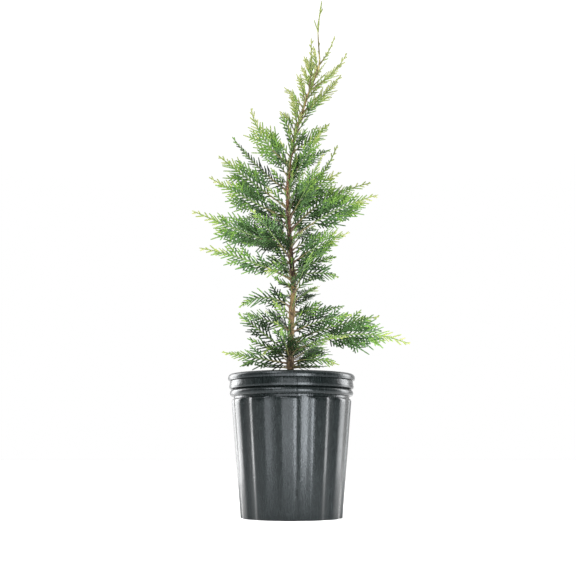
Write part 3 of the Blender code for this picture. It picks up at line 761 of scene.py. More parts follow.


# Short twigs with places of their own, which fill the trunk's length and the crown's foot.
# The deep greens of these twigs, near the trunk and at the crown's foot, are painted shade.
FILLERS = (
    Spray("fill_upper_0", 0.396, 302, 66, 4, 0.044, 0.016, 10, 0, Tint.DEEP),
    Spray("fill_upper_1", 0.416, 300, 72, 6, 0.050, 0.017, 8, 0, Tint.GREEN),
    Spray("fill_upper_2", 0.438, 318, 66, 8, 0.048, 0.017, 10, 0, Tint.GREEN),
    Spray("fill_upper_3", 0.462, 292, 74, 4, 0.046, 0.016, 10, 0, Tint.GREEN),
    Spray("fill_upper_4", 0.486, 306, 70, 6, 0.042, 0.015, 8, 0, Tint.GREEN),
    Spray("fill_upper_5", 0.512, 318, 66, 4, 0.034, 0.013, 8, 0, Tint.BRIGHT),
    Spray("fill_right", 0.350, 350, 36, -12, 0.052, 0.022, 16, 0, Tint.DEEP),
    Spray("fill_right_low", 0.334, 342, 26, -16, 0.058, 0.024, 16, 0, Tint.DEEP),
    Spray("fill_right_behind", 0.322, 20, 30, -16, 0.070, 0.028, 16, 0, Tint.DEEP),
    Spray("fill_left", 0.334, 188, 2, -14, 0.050, 0.025, 12, 0, Tint.DEEP),
    Spray("fill_left_front", 0.322, 206, 8, -24, 0.044, 0.022, 18, 0, Tint.GREEN),
    Spray("fill_low_upper", 0.244, 318, 40, -30, 0.060, 0.026, 16, 0, Tint.DEEP),
    Spray("fill_low", 0.224, 338, 22, -24, 0.062, 0.024, 18, 0, Tint.DEEP),
    Spray("fill_low_bough", 0.209, 326, 30, -34, 0.092, 0.017, 40, 0, Tint.GREEN),
    Spray("fill_low_front", 0.214, 300, 26, -20, 0.048, 0.020, 30, 0, Tint.DEEP),
    Spray("fill_left_low", 0.303, 184, 24, -10, 0.024, 0.010, 16, 0, Tint.DEEP),
    Spray("fill_waist", 0.290, 182, 6, -20, 0.020, 0.009, 16, 0, Tint.DEEP),
    Spray("fill_front_low", 0.262, 350, 34, -30, 0.026, 0.012, 16, 0, Tint.GREEN),
    Spray("fill_low_left", 0.205, 182, 30, -8, 0.064, 0.021, 14, 0, Tint.DEEP),
    Spray("fill_foot_right", 0.1935, 350, 2, 0, 0.050, 0.014, 82, 0, Tint.DEEP),
    Spray("fill_foot_front", 0.1945, 312, 4, 0, 0.044, 0.014, 80, 0, Tint.DEEP),
    Spray("fill_foot_left", 0.1935, 188, 2, 0, 0.042, 0.014, 82, 0, Tint.DEEP),
    Spray("fill_foot_back", 0.1950, 30, 4, 0, 0.046, 0.016, 60, 0, Tint.DEEP),
    Spray("fill_foot_behind", 0.1960, 140, 4, 0, 0.046, 0.016, 60, 0, Tint.DEEP),
)


@dataclass(frozen=True)
class TrunkTwigs:
    """The short sprays that fill the trunk's length between the limbs."""

    count: int = 110
    lowest: float = 0.190
    highest: float = 0.606
    crowding: float = 0.85
    first_heading: float = 20.0
    heading_step: float = 137.5
    rise: Range = (18.0, 46.0)
    rise_by_height: float = 26.0
    turn: Range = (-20.0, 16.0)
    length: Range = (0.024, 0.056)
    shortening: float = 0.25
    reach_share: Range = (0.28, 0.42)
    roll: Range = (0.0, 50.0)
    bright_above: float = 0.80

    def tint(self, number: int, share: float) -> Tint:
        """A twig's green: bright near the top, and lighter for each third one below."""
        if share > self.bright_above:
            return Tint.BRIGHT
        return Tint.DEEP if number % 3 else Tint.GREEN

    def sprays(self) -> Iterator[Spray]:
        """Each twig's row of sizes, from the foot upwards, after those with a place of their own."""
        yield from FILLERS
        for number in range(self.count):
            share = ((number + 0.5) / self.count) ** self.crowding
            length = draw(*self.length, "twig", number) * (1.0 - self.shortening * share)
            yield Spray(
                name=f"twig_{number}", height=self.lowest + (self.highest - self.lowest) * share,
                heading=self.heading_step * number + self.first_heading,
                rise=draw(*self.rise, "twig rise", number) + self.rise_by_height * share,
                turn=draw(*self.turn, "twig turn", number), length=length,
                reach=length * draw(*self.reach_share, "reach", number),
                roll=draw(*self.roll, "twig roll", number), bare=0.0, tint=self.tint(number, share))


@dataclass
class Rods:
    """The limbs placed so far, as straight rods, which keep a clearance from each other."""

    lowest: float = 0.1865
    clearance: float = 0.0003
    starts: list[Vector] = field(default_factory=list)
    ends: list[Vector] = field(default_factory=list)
    radii: list[float] = field(default_factory=list)

    def add(self, points: Sequence[Vector], radii: Sequence[float]) -> None:
        """Adds a limb's rods.

        Args:
            points: Places along its middle line.
            radii: Its radius at each.
        """
        self.starts.extend(points[:-1])
        self.ends.extend(points[1:])
        self.radii.extend(max(pair) for pair in zip(radii, radii[1:]))

    def is_clear(self, points: Sequence[Vector], radii: Sequence[float]) -> bool:
        """Whether a limb clears the pot's rim and all rods.

        Args:
            points: Places along its middle line.
            radii: Its radius at each.

        Returns:
            Whether it does.
        """
        if min(point.z - radius for point, radius in zip(points, radii)) < self.lowest:
            return False
        if not self.starts:
            return True
        starts, ends, reach = np.array(self.starts), np.array(self.ends), np.array(self.radii)
        for i in range(len(points) - 1):
            gaps = self.gaps(np.array(points[i]), np.array(points[i + 1]), starts, ends)
            if (gaps < reach + max(radii[i], radii[i + 1]) + self.clearance).any():
                return False
        return True

    @staticmethod
    def gaps(start: Array, end: Array, starts: Array, ends: Array) -> Array:
        """The least distance of one straight line from each of many others.

        Args:
            start: The line's start.
            end: Its end.
            starts: The others' starts.
            ends: Their ends.

        Returns:
            The distances.
        """
        nearly_parallel = 1e-16
        own, other, offset = end - start, ends - starts, start - starts
        own_square = own @ own
        other_square = (other * other).sum(axis=1)
        cross, own_part = other @ own, offset @ own
        other_part = (other * offset).sum(axis=1)
        spread = own_square * other_square - cross * cross
        share = (cross * other_part - own_part * other_square) / np.maximum(spread, nearly_parallel)
        share = np.where(spread > nearly_parallel, share, 0.0).clip(0, 1)
        other_share = ((cross * share + other_part) / other_square).clip(0, 1)
        share = ((cross * other_share - own_part) / own_square).clip(0, 1)
        return np.linalg.norm(start + share[:, None] * own - starts - other_share[:, None] * other, axis=1)


@dataclass(eq=False)
class Limb:
    """One spray's stem from the trunk to its tip, along the source's own line.

    Attributes:
        spray: What it carries.
        heading: Its heading, which may be turned aside from the spray's.
        trunk: The trunk that it grows from.
        node: The CAD node that its leaves belong to.
        line: Places along its middle line.
        start: How far along its line it comes clear of the trunk.
        stem_start: How far along its line the spray begins, past the bare bough.
    """

    spray: Spray
    heading: float
    trunk: TrunkLine
    node: str
    line: list[Vector] = field(init=False)
    start: float = field(init=False)
    stem_start: float = field(init=False)
    steps: int = 16
    sway: float = 12.0
    clearance: float = 0.0003
    fullness: float = 1.2
    first_lateral: float = 0.004
    lateral_spacing: float = 0.0031
    last_lateral: float = 0.005
    rod_count: int = 12

    def __post_init__(self) -> None:
        """Lays the limb's line and finds where it comes clear of the trunk."""
        self.line = self._line()
        self.start = self._start()
        bare = self.spray.bare
        self.stem_start = self.start + bare + self.clearance if bare else self.start

    def _line(self) -> list[Vector]:
        """The middle line: its rise turns, and it sways a little."""
        sway = draw(-self.sway, self.sway, self.spray.name, "sway")
        points = [self.trunk.middle(self.spray.height)]
        for i in range(self.steps):
            share = (i + 0.5) / self.steps
            rise = math.radians(self.spray.rise + self.spray.turn * share)
            direction = pointing(math.radians(self.heading + sway * share), rise)
            points.append(points[-1] + direction * (self.spray.length / self.steps))
        return points

    def _start(self) -> float:
        """How far along its line it comes clear of the trunk's bark."""
        height = self.spray.height
        direction = (self.line[1] - self.line[0]).normalized()
        upward = self.trunk.direction(height)
        own = self.spray.radius(0) * self.fullness
        room = self.trunk.radius(height) + self.clearance + own * (abs(direction.dot(upward)) + 0.15)
        return room / direction.cross(upward).length

    def rods(self) -> tuple[list[Vector], list[float]]:
        """Places along it and its radius at each, for the clearance between limbs."""
        length, last = self.spray.length - self.start, self.rod_count - 1
        spots = [self.start + length * i / last for i in range(self.rod_count)]
        return [along(self.line, spot)[0] for spot in spots], [self.spray.radius(spot) for spot in spots]

    def plane(self, direction: Vector) -> Vector:
        """The direction in which laterals leave the stem, square to it, after the spray's roll."""
        level = UP.cross(direction).normalized()
        roll = math.radians(self.spray.roll)
        return (direction.cross(level) * math.cos(roll) + level * math.sin(roll)).normalized()

    def laterals(self) -> Iterator[Lateral]:
        """Each lateral of the spray, from the trunk outwards."""
        room = self.spray.length - self.stem_start - self.first_lateral - self.last_lateral
        for index in range(int(room / self.lateral_spacing)):
            yield Lateral(self, index)


@dataclass(eq=False)
class Lateral:
    """One branchlet of a spray, by the source's rule, with the places of its shoots.

    Attributes:
        limb: The stem that it grows from.
        index: Its number along the stem.
        source_every: The source has each third lateral, and those between are held back.
    """

    limb: Limb
    index: int
    angle: float = 46.0
    angle_variation: float = 6.0
    closing: float = 18.0
    closing_above: float = 0.50
    closing_by_height: float = 180.0
    tilt: float = 20.0
    bend: float = 0.12
    sag: float = 0.05
    curl: Range = (-0.10, 0.06)
    variation: Range = (0.8, 1.15)
    root_share: float = 0.5
    widening: float = 3.0
    tip_from: float = 1.08
    tip_power: float = 0.8
    end: float = 1.02
    narrowing_share: float = 0.42
    narrowing_power: float = 0.55
    source_every: int = 3
    held_back: Range = (0.50, 0.95)
    plain_below: float = 0.0190
    first_shoot: float = 0.0056
    shoot_spacing: float = 0.0051
    last_shoot_share: float = 0.66
    shoot_share: float = 0.42
    shoot_variation: Range = (0.75, 1.15)
    longest_shoot: float = 0.0130
    shoot_angle: float = 36.0

    def __post_init__(self) -> None:
        """Works out its place, its length and its directions."""
        limb, spray, index = self.limb, self.limb.spray, self.index
        first = limb.stem_start + limb.first_lateral
        self.key = (spray.name, index)
        distance = first + limb.lateral_spacing * index
        self.share = (distance - first) / (spray.length - first)
        self.length = self.outline() * draw(*self.variation, *self.key, "length")
        self.root, self.inward = along(limb.line, distance)
        angle = self.angle - self.closing * self.share
        angle -= self.closing_by_height * max(spray.height - self.closing_above, 0.0)
        angle += draw(-self.angle_variation, self.angle_variation, *self.key, "angle")
        angle = math.radians(angle)
        tilt = math.radians(draw(-self.tilt, self.tilt, *self.key, "tilt"))
        outward = limb.plane(self.inward) * (1 if index % 2 else -1)
        outward = outward * math.cos(tilt) + self.inward.cross(outward) * math.sin(tilt)
        self.normal = self.inward.cross(outward)
        self.direction = self.inward * math.cos(angle) + outward * math.sin(angle)
        self.side = self.normal.cross(self.direction)
        self.curled = draw(*self.curl, *self.key, "curl")

    def outline(self) -> float:
        """The spray's outline: widest a little way out, and narrowing to the stem's bare tip."""
        spray = self.limb.spray
        left = self.end - spray.bare_share() - self.share
        narrowing = min(1.0, max(0.0, left / self.narrowing_share)) ** self.narrowing_power
        width = spray.reach * min(1.0, self.root_share + self.widening * self.share)
        return width * (self.tip_from - self.share) ** self.tip_power * narrowing

    def shorten(self) -> None:
        """Holds back the laterals between the source's own, except near the stem's tip."""
        if self.index % self.source_every:
            near_tip = min(max((self.share - 0.45) / 0.3, 0.0), 1.0)
            held = draw(*self.held_back, *self.key, "held back")
            self.length *= held + (1.0 - held) * near_tip

    def place(self, distance: float, across: float = 0.0) -> Vector:
        """A point of the lateral's blade.

        Args:
            distance: How far out it is.
            across: How far to the side.

        Returns:
            The point, after the lateral's bend and curl.
        """
        far = distance * distance / self.length
        return (self.root + self.direction * distance + self.inward * (self.bend * far)
                + self.side * across + self.normal * (self.curled * far) - UP * (self.sag * far))

    def reach_of_shoot(self, way: Way, number: int, start: float) -> float:
        """How long a side shoot is.

        Args:
            way: The side that it grows on.
            number: Its number along the lateral.
            start: Where it leaves the lateral.

        Returns:
            Its length beyond the lateral's own width.
        """
        reach = min(self.shoot_share * self.length * (1.15 - start / self.length), self.longest_shoot)
        place = (number // 2 * 3 + 1, way.value) if number % 2 == 0 else ("between", number, way.value)
        return reach * draw(*self.shoot_variation, *self.key, *place)


def settle_limbs(trunk: TrunkLine, attempts: int = 12, step: float = 6.0) -> list[Limb]:
    """Turns each limb aside, step by step, until it passes clear of those before it.

    Args:
        trunk: The trunk that they grow from.
        attempts: How many headings are tried for each.
        step: The degrees between them.

    Returns:
        The limbs, longest first.
    """
    rods = Rods()
    limbs = []
    for spray in sorted([*SPRAYS, *FarSide().sprays()], key=lambda row: -row.length):
        for attempt in range(attempts):
            aside = step * ((attempt + 1) // 2) * (-1) ** attempt
            limb = Limb(spray, spray.heading + aside, trunk, f"foliage_{spray.name}")
            points, radii = limb.rods()
            if rods.is_clear(points, radii):
                rods.add(points, radii)
                limbs.append(limb)
                break
    return limbs


@dataclass(frozen=True)
class Shoot:
    """One scaly shoot: a flat line of overlapping scale leaves, in pairs.

    Attributes:
        root: Where it starts.
        path: From its root to its tip, had it no bend.
        bend: How far its tip is bent aside.
        side: The direction across its flat.
        half_width: Half its width.
        tone: Its green, from 0, shade, to 1, new growth.
        node: The CAD node that it belongs to.
    """

    root: Vector
    path: Vector
    bend: Vector
    side: Vector
    half_width: float
    tone: float
    node: str


@dataclass
class ScaleLeaves:
    """Turns shoots into meshes of scale leaves, joined by their greens."""

    scale_length: float = 0.0021
    widest: float = 0.70
    waist: float = 0.74
    tip_width: float = 0.16
    thickness: float = 0.50
    widest_thickness: float = 0.72
    tip_thickness: float = 0.2
    taper: float = 0.34
    most: int = 190_000
    shoots: list[Shoot] = field(default_factory=list)

    def add(self, shoot: Shoot) -> None:
        """Notes one more shoot."""
        self.shoots.append(shoot)

    def scales(self, shoot: Shoot) -> int:
        """How many pairs of scales lie along a shoot."""
        return max(1, round(shoot.path.length / self.scale_length))

    def triangles(self, shoot: Shoot) -> int:
        """How many triangles a shoot comes to: two rings of four sides a scale, and two ends."""
        return 16 * self.scales(shoot) + 4

    def shapes(self, shoots: Sequence[Shoot], scales: int) -> Array:
        """The rings of points of many shoots with the same number of scales.

        Args:
            shoots: The shoots.
            scales: Their number of scales.

        Returns:
            Their points: one row for each shoot, ring and corner.
        """
        root, path, bend, side = (np.array([getattr(shoot, part) for shoot in shoots])[:, None, :]
                                  for part in ("root", "path", "bend", "side"))
        width = np.array([shoot.half_width for shoot in shoots])[:, None, None]
        number = np.arange(scales)
        spots = np.append(np.stack([number, number + self.widest], axis=1).ravel() / scales, 1.0)
        spots = spots[None, :, None]
        wide = np.append(np.tile([self.waist, 1.0], scales), self.tip_width)[None, :, None]
        thick = np.append(np.tile([1.0, self.widest_thickness], scales), self.tip_thickness)
        thick = thick[None, :, None] * self.thickness
        taper = 1.0 - self.taper * spots ** 3
        middle = root + path * spots + bend * spots ** 2
        ahead = path + 2.0 * bend * spots
        ahead /= np.linalg.norm(ahead, axis=2, keepdims=True)
        up = np.cross(ahead, side)
        up /= np.linalg.norm(up, axis=2, keepdims=True)
        across = np.cross(up, ahead) * (wide * width * taper)
        rise = up * (thick * width * taper)
        return np.stack([middle + across, middle + rise, middle - across, middle - rise], axis=2)

    def fill(self, shell: Shell, shoots: Sequence[Shoot]) -> None:
        """Adds shoots to a shell.

        Args:
            shell: What they are joined in.
            shoots: The shoots.
        """
        by_scales: dict[int, list[Shoot]] = {}
        for shoot in shoots:
            by_scales.setdefault(self.scales(shoot), []).append(shoot)
            shell.nodes.add(shoot.node)
        for scales, alike in by_scales.items():
            rings = 2 * scales + 1
            sides = ring_faces(rings, 4)
            last = 4 * rings
            caps = np.array([[3, 2, 1, 0], [last - 4, last - 3, last - 2, last - 1]])
            faces = np.concatenate([sides, caps])[None] + last * np.arange(len(alike))[:, None, None]
            shell.add(self.shapes(alike, scales).reshape(-1, 3), faces.reshape(-1, 4))

    def batches(self, shoots: Sequence[Shoot]) -> Iterator[list[Shoot]]:
        """Shares shoots out, so that no piece has more than the most triangles.

        Args:
            shoots: The shoots of one green.

        Yields:
            The shoots of each piece.
        """
        room, batch = self.most, []
        for shoot in shoots:
            if self.triangles(shoot) > room:
                yield batch
                room, batch = self.most, []
            batch.append(shoot)
            room -= self.triangles(shoot)
        if batch:
            yield batch

    def make(self) -> list[Piece]:
        """Joins the shoots into pieces, one or more for each green."""
        pieces = []
        for leaf in LeafFinish:
            alike = [shoot for shoot in self.shoots if LeafFinish.of_tone(shoot.tone) is leaf]
            for number, batch in enumerate(self.batches(alike), 1):
                shell = Shell()
                self.fill(shell, batch)
                pieces.append(shell.make(f"{leaf.value.name}_{number}", leaf.value))
        return pieces


@dataclass(frozen=True)
class ShootRow:
    """A row of small shoots along a stem: their spacing, and the ranges of their leans and sizes."""

    spacing: float
    lean: Range
    size: Range


@dataclass
class Crown:
    """The sprays: every lateral and shoot of the source's rule, carried to finer shoots."""

    trunk: TrunkLine
    limbs: list[Limb]
    leaves: ScaleLeaves
    lowest: float = 0.1862
    shortest_lateral: float = 0.0035
    lateral_half_width: float = 0.00118
    shoot_half_width: float = 0.00108
    spur_half_width: float = 0.00092
    run_length: float = 0.008
    held_back: float = 0.0012
    least_shoot: float = 0.0024
    shoot_bend: float = 0.16
    forked: float = 0.0105
    first_spur: float = 0.0032
    spur_spacing: float = 0.0028
    last_spur_share: float = 0.72
    spur_share: float = 0.45
    spur_angle: float = 38.0
    stem_shoots: ShootRow = ShootRow(0.0031, (26.0, 48.0), (0.0035, 0.0090))
    stem_shoot_lift: float = 0.0012
    fingers: ShootRow = ShootRow(0.0056, (24.0, 38.0), (0.60, 1.15))
    finger_bend: float = 0.10
    tip_from: float = 0.34
    tip_run: float = 0.0085
    leader_from: float = 0.664
    leader_step: float = 0.0075
    leader_run: float = 0.0085
    leader_tone: float = 0.80
    leader_forks: tuple[Row, ...] = ((0.6650, 188.0, 0.016), (0.6900, 20.0, 0.009), (0.6420, 30.0, 0.006),
                                     (0.6300, 200.0, 0.005), (0.6060, 150.0, 0.010))
    fork_lean: float = 0.38
    fork_half_width: float = 0.00095
    fork_tone: float = 0.78
    # The tone rule paints shade towards the trunk, towards each stem and low over the pot; the lighter tips
    # and top are partly new growth and partly painted light.
    tone_along: float = 0.50
    tone_out: float = 0.34
    tone_middle: float = 0.45
    tone_end: float = 0.4
    end_from: float = 0.75
    tone_by_height: tuple[Range, ...] = ((0.42, 0.5), (0.50, 1.4))
    shade_below: float = 0.250
    tone_of_shade: float = 4.0
    tone_variation: float = 0.11

    def make(self) -> list[Piece]:
        """Grows every limb's spray and the leader's own shoots, and joins them."""
        for limb in self.limbs:
            self.grow_spray(limb)
        self.grow_leader()
        return self.leaves.make()

    def grow_spray(self, limb: Limb) -> None:
        """Grows one spray.

        Args:
            limb: The spray's stem.
        """
        for lateral in limb.laterals():
            lateral.shorten()
            if lateral.length >= self.shortest_lateral:
                self.grow_lateral(lateral)
        self.grow_stem_shoots(limb)
        self.grow_fingers(limb)
        self.grow_tip(limb)

    def tone(self, spray: Spray, share: float, out: float, *place: object) -> float:
        """The green at a place of a spray: painted shade darkens it towards the trunk, towards its stem and
        low over the pot, and it is lighter at tips and near the crown's top, partly from new growth and
        partly as painted light.

        Args:
            spray: The spray.
            share: How far along the spray's stem, from 0 to 1.
            out: How far out from the stem, from 0 to 1.
            place: The words and numbers that name the place.

        Returns:
            The tone, from 0, painted shade, to 1, new growth and painted light.
        """
        # Lighter high in the crown, partly new growth and partly painted light; darker low over the pot, as
        # painted shade.
        height = sum(gain * max(spray.height - start, 0.0) for start, gain in self.tone_by_height)
        height -= self.tone_of_shade * max(self.shade_below - spray.height, 0.0) * (1.0 - share)
        end = self.tone_end * max(share - self.end_from, 0.0)
        # Darker towards the trunk and towards the stem: painted shade inside the crown.
        return (spray.tint.value + self.tone_along * (share - self.tone_middle)
                + self.tone_out * (out - self.tone_middle) + end + height
                + draw(-self.tone_variation, self.tone_variation, *place))

    def add(self, root: Vector, tip: Vector, bend: Vector, side: Vector, half_width: float, tone: float,
            node: str) -> Shoot | None:
        """Adds a shoot unless it would reach below the rim.

        Args:
            root: Where it starts.
            tip: Where it would end if it were straight.
            bend: How far the tip is bent aside.
            side: The direction across its flat.
            half_width: Half its width.
            tone: Its green.
            node: The CAD node that it belongs to.

        Returns:
            The shoot, if it was added.
        """
        if min(root.z, tip.z + bend.z) - half_width < self.lowest:
            return None
        shoot = Shoot(root, tip - root, bend, side, half_width, tone, node)
        self.leaves.add(shoot)
        return shoot

    def grow_lateral(self, lateral: Lateral) -> None:
        """Grows one lateral: its own axis in runs, and its side shoots.

        Args:
            lateral: The lateral.
        """
        length, limb = lateral.length, lateral.limb
        runs = max(1, round(length / self.run_length))
        for run in range(runs):
            start, end = length * run / runs, length * (run + 1) / runs
            root, tip = lateral.place(start), lateral.place(end)
            share = end / length
            width = self.lateral_half_width * (0.80 + 0.35 * math.sin(math.pi * share))
            tone = self.tone(limb.spray, lateral.share, share, *lateral.key, "run", run)
            if not self.add(root, tip, Vector(), lateral.side, width, tone, limb.node):
                return
        if length < lateral.plain_below:
            return
        count = int((lateral.last_shoot_share * length - lateral.first_shoot) / lateral.shoot_spacing) + 1
        for number in range(count):
            for way in Way:
                self.grow_shoot(lateral, number, way)

    def grow_shoot(self, lateral: Lateral, number: int, way: Way) -> None:
        """Grows one side shoot of a lateral, with its spurs where it is long.

        Args:
            lateral: The lateral.
            number: The shoot's number along the lateral.
            way: The side that it grows on.
        """
        start = lateral.first_shoot + lateral.shoot_spacing * number
        begin = start + (0.5 * lateral.shoot_spacing if way is Way.RIGHT else 0.0)
        reach = lateral.reach_of_shoot(way, number, start) - self.held_back
        reach = min(reach, 1.1 * (lateral.length - begin) - 0.0005)
        if reach < self.least_shoot:
            return
        key = (*lateral.key, number, way.value)
        angle = math.radians(lateral.shoot_angle)
        root = lateral.place(begin)
        across = way.value * (0.0010 + reach * math.sin(angle))
        tip = lateral.place(begin + reach * math.cos(angle), across)
        lift = lateral.normal * (draw(-0.16, 0.16, *key, "lift") * reach)
        bend = lateral.direction * (self.shoot_bend * reach) + lift
        limb, out = lateral.limb, 0.25 + start / lateral.length
        tone = self.tone(limb.spray, lateral.share, out, *lateral.key, "shoot", number, way.value)
        flat = lateral.side * math.cos(angle) - lateral.direction * (way.value * math.sin(angle))
        shoot = self.add(root, tip - bend, bend, flat, self.shoot_half_width, tone, limb.node)
        length = (tip - root).length
        if shoot and length >= self.forked:
            self.grow_spurs(shoot, length, lift, key)

    def grow_spurs(self, shoot: Shoot, length: float, lift: Vector, key: tuple[object, ...]) -> None:
        """Grows the spurs to either side of a long shoot.

        Args:
            shoot: The shoot.
            length: Its length from root to tip.
            lift: How far its tip stands out of the spray's plane.
            key: The words and numbers that name it.
        """
        turn = math.radians(self.spur_angle)
        for spur in range(int((self.last_spur_share * length - self.first_spur) / self.spur_spacing) + 1):
            at = (self.first_spur + self.spur_spacing * spur) / length
            side = -1.0 if spur % 2 else 1.0
            root = shoot.root + shoot.path * at + shoot.bend * (at * at)
            size = self.spur_share * length * (1.15 - at) * draw(0.8, 1.2, *key, spur)
            heading = shoot.path.normalized() * math.cos(turn) + shoot.side * (side * math.sin(turn))
            self.add(root, root + heading * size, lift * 0.2, shoot.side, self.spur_half_width,
                     shoot.tone + 0.05, shoot.node)

    def grow_stem_shoots(self, limb: Limb) -> None:
        """Grows the short shoots that sit on a stem between its laterals.

        Args:
            limb: The spray's stem.
        """
        row, spray = self.stem_shoots, limb.spray
        full = min(spray.length * (1.0 - spray.bare_share()), spray.length - 0.006)
        for number, spot in enumerate(np.arange(limb.stem_start + 0.003, full, row.spacing).tolist()):
            root, ahead = along(limb.line, spot)
            outward = limb.plane(ahead) * (1.0 if number % 2 else -1.0)
            lean = math.radians(draw(*row.lean, spray.name, "stem", number))
            share = spot / spray.length
            size = draw(*row.size, spray.name, "stem size", number) * (1.15 - 0.5 * share)
            heading = ahead * math.cos(lean) + outward * math.sin(lean)
            tone = self.tone(spray, share, 0.1, spray.name, "stem", number)
            lift = draw(-self.stem_shoot_lift, self.stem_shoot_lift, spray.name, "stem lift", number)
            self.add(root, root + heading * (size + spray.radius(spot)), ahead.cross(outward) * lift,
                     outward, self.spur_half_width, tone, limb.node)

    def grow_fingers(self, limb: Limb) -> None:
        """Grows the few long fingers that stand past a spray's last laterals.

        Args:
            limb: The spray's stem.
        """
        row, spray = self.fingers, limb.spray
        full = spray.length * (1.0 - spray.bare_share())
        for number, spot in enumerate(np.arange(full, spray.length - 0.003, row.spacing).tolist()):
            root, ahead = along(limb.line, spot)
            outward = limb.plane(ahead) * (1.0 if number % 2 else -1.0)
            lean = math.radians(draw(*row.lean, spray.name, "finger", number))
            left = spray.length - spot
            size = min(0.0025 + 0.42 * left, 0.30 * spray.reach + 0.10 * left)
            size *= draw(*row.size, spray.name, "finger size", number)
            tip = root + (ahead * math.cos(lean) + outward * math.sin(lean)) * size
            tone = self.tone(spray, spot / spray.length, 0.9, spray.name, "finger", number)
            bend = ahead * (self.finger_bend * size)
            self.add(root, tip - bend, bend, outward, self.lateral_half_width, tone, limb.node)

    def grow_tip(self, limb: Limb) -> None:
        """Covers the outer part of a spray's stem with scale leaves, up to its tip.

        Args:
            limb: The spray's stem.
        """
        spray, length = limb.spray, limb.spray.length
        spots = np.arange(length * self.tip_from, length + 0.004, self.tip_run)
        spots = np.append(spots[spots < length - 0.004], length).tolist()
        for run, (start, end) in enumerate(zip(spots, spots[1:])):
            root, direction = along(limb.line, start)
            tip, _ = along(limb.line, end)
            tone = self.tone(spray, end / length, 0.5, spray.name, "tip", run)
            width = max(spray.radius(start) + 0.0006, 0.0012) - 0.0002 * end / length
            self.add(root, tip, Vector(), limb.plane(direction), width, tone, limb.node)

    def grow_leader(self) -> None:
        """Covers the leader with scale leaves in four ranks, and adds its short forks."""
        middle, high = self.trunk.middle, self.trunk.high
        for number, height in enumerate(np.arange(self.leader_from, high - 0.004, self.leader_step)):
            root, tip = middle(height), middle(min(height + self.leader_run, high))
            width = self.trunk.radius(height) + 0.0007 + 0.0003 * math.sin(2.0 * number)
            for side in (Vector((1.0, 0.0, 0.0)), Vector((0.0, 1.0, 0.0))):
                self.add(root, tip, Vector(), side, width, self.leader_tone, "trunk")
        for height, heading, length in self.leader_forks:
            root, outward = middle(height), pointing(math.radians(heading))
            upward = self.trunk.direction(height)
            tip = root + (upward * math.cos(self.fork_lean) + outward * math.sin(self.fork_lean)) * length
            self.add(root, tip, upward * (0.1 * length), outward, self.fork_half_width, self.fork_tone,
                     "trunk")


@dataclass(frozen=True)
class StemTone:
    """One tone of the sprays' stems, and how far along a stem it reaches."""

    name: str
    colour: Colour
    end: float


@dataclass
class Stems:
    """The stems of the sprays and the bare boughs that carry them, with collars and scars."""

    limbs: list[Limb]
    sides: int = 8
    spacing: float = 0.0016
    smooth: float = 50.0
    first_share: float = 0.3
    last_share: float = 0.985
    collar: float = 0.75
    collar_length: float = 0.0030
    relief: float = 0.10
    relief_scale: float = 420.0
    young_above: float = 0.44
    bough_colour: Colour = (0.116, 0.098, 0.034)
    tones: tuple[StemTone, ...] = (
        StemTone("stems_brown", (0.085, 0.056, 0.031), 0.16),
        StemTone("stems_tan", (0.116, 0.108, 0.034), 0.32),
        StemTone("stems_olive", (0.100, 0.150, 0.042), 1.00),
    )

    def rings(self, limb: Limb) -> tuple[Array, Array]:
        """The rings of one limb and how far along it each lies.

        Args:
            limb: The limb.

        Returns:
            The distances and the rings of points.
        """
        spray = limb.spray
        spots = np.arange(self.first_share * limb.start, spray.length * self.last_share, self.spacing)
        rings = []
        for spot in spots.tolist():
            middle, ahead = along(limb.line, spot)
            first = limb.plane(ahead)
            collar = self.collar * math.exp(-max(spot - limb.start, 0.0) / self.collar_length)
            radius = spray.radius(spot) * (1.0 + collar)
            points = []
            for _, outward in ring(first, ahead.cross(first), self.sides):
                relief = 1.0 + self.relief * wavy(middle + outward * radius, self.relief_scale, 3)
                points.append(middle + outward * (radius * relief))
            rings.append(points)
        return spots, np.array(rings)

    def make(self) -> list[Piece]:
        """Joins the boughs into one piece and the sprays' stems into one for each tone."""
        boughs = Shell()
        shells = [Shell() for _ in self.tones]
        for limb in self.limbs:
            spray = limb.spray
            spots, rings = self.rings(limb)
            bough_end = limb.stem_start if spray.bare else 0.0
            starts = [0.0, *(tone.end * spray.length for tone in self.tones)]
            if spray.height > self.young_above:
                starts[1] = 0.0
            parts = [(boughs, 0.0, bough_end, f"bough_{spray.name}")] if spray.bare else []
            parts += [(shell, max(low, bough_end), high, limb.node)
                      for shell, low, high in zip(shells, starts, starts[1:])]
            for shell, low, high, node in parts:
                chosen = np.flatnonzero((spots >= low - self.spacing) & (spots <= high))
                if len(chosen) > 1:
                    shell.add(rings[chosen].reshape(-1, 3), ring_faces(len(chosen), self.sides),
                              end_faces(len(chosen), self.sides), node=node)
        pieces = [boughs.make("boughs", TwigBark("bough_bark", self.bough_colour), self.smooth)]
        return pieces + [shell.make(tone.name, TwigBark(tone.name, tone.colour), self.smooth)
                         for tone, shell in zip(self.tones, shells)]


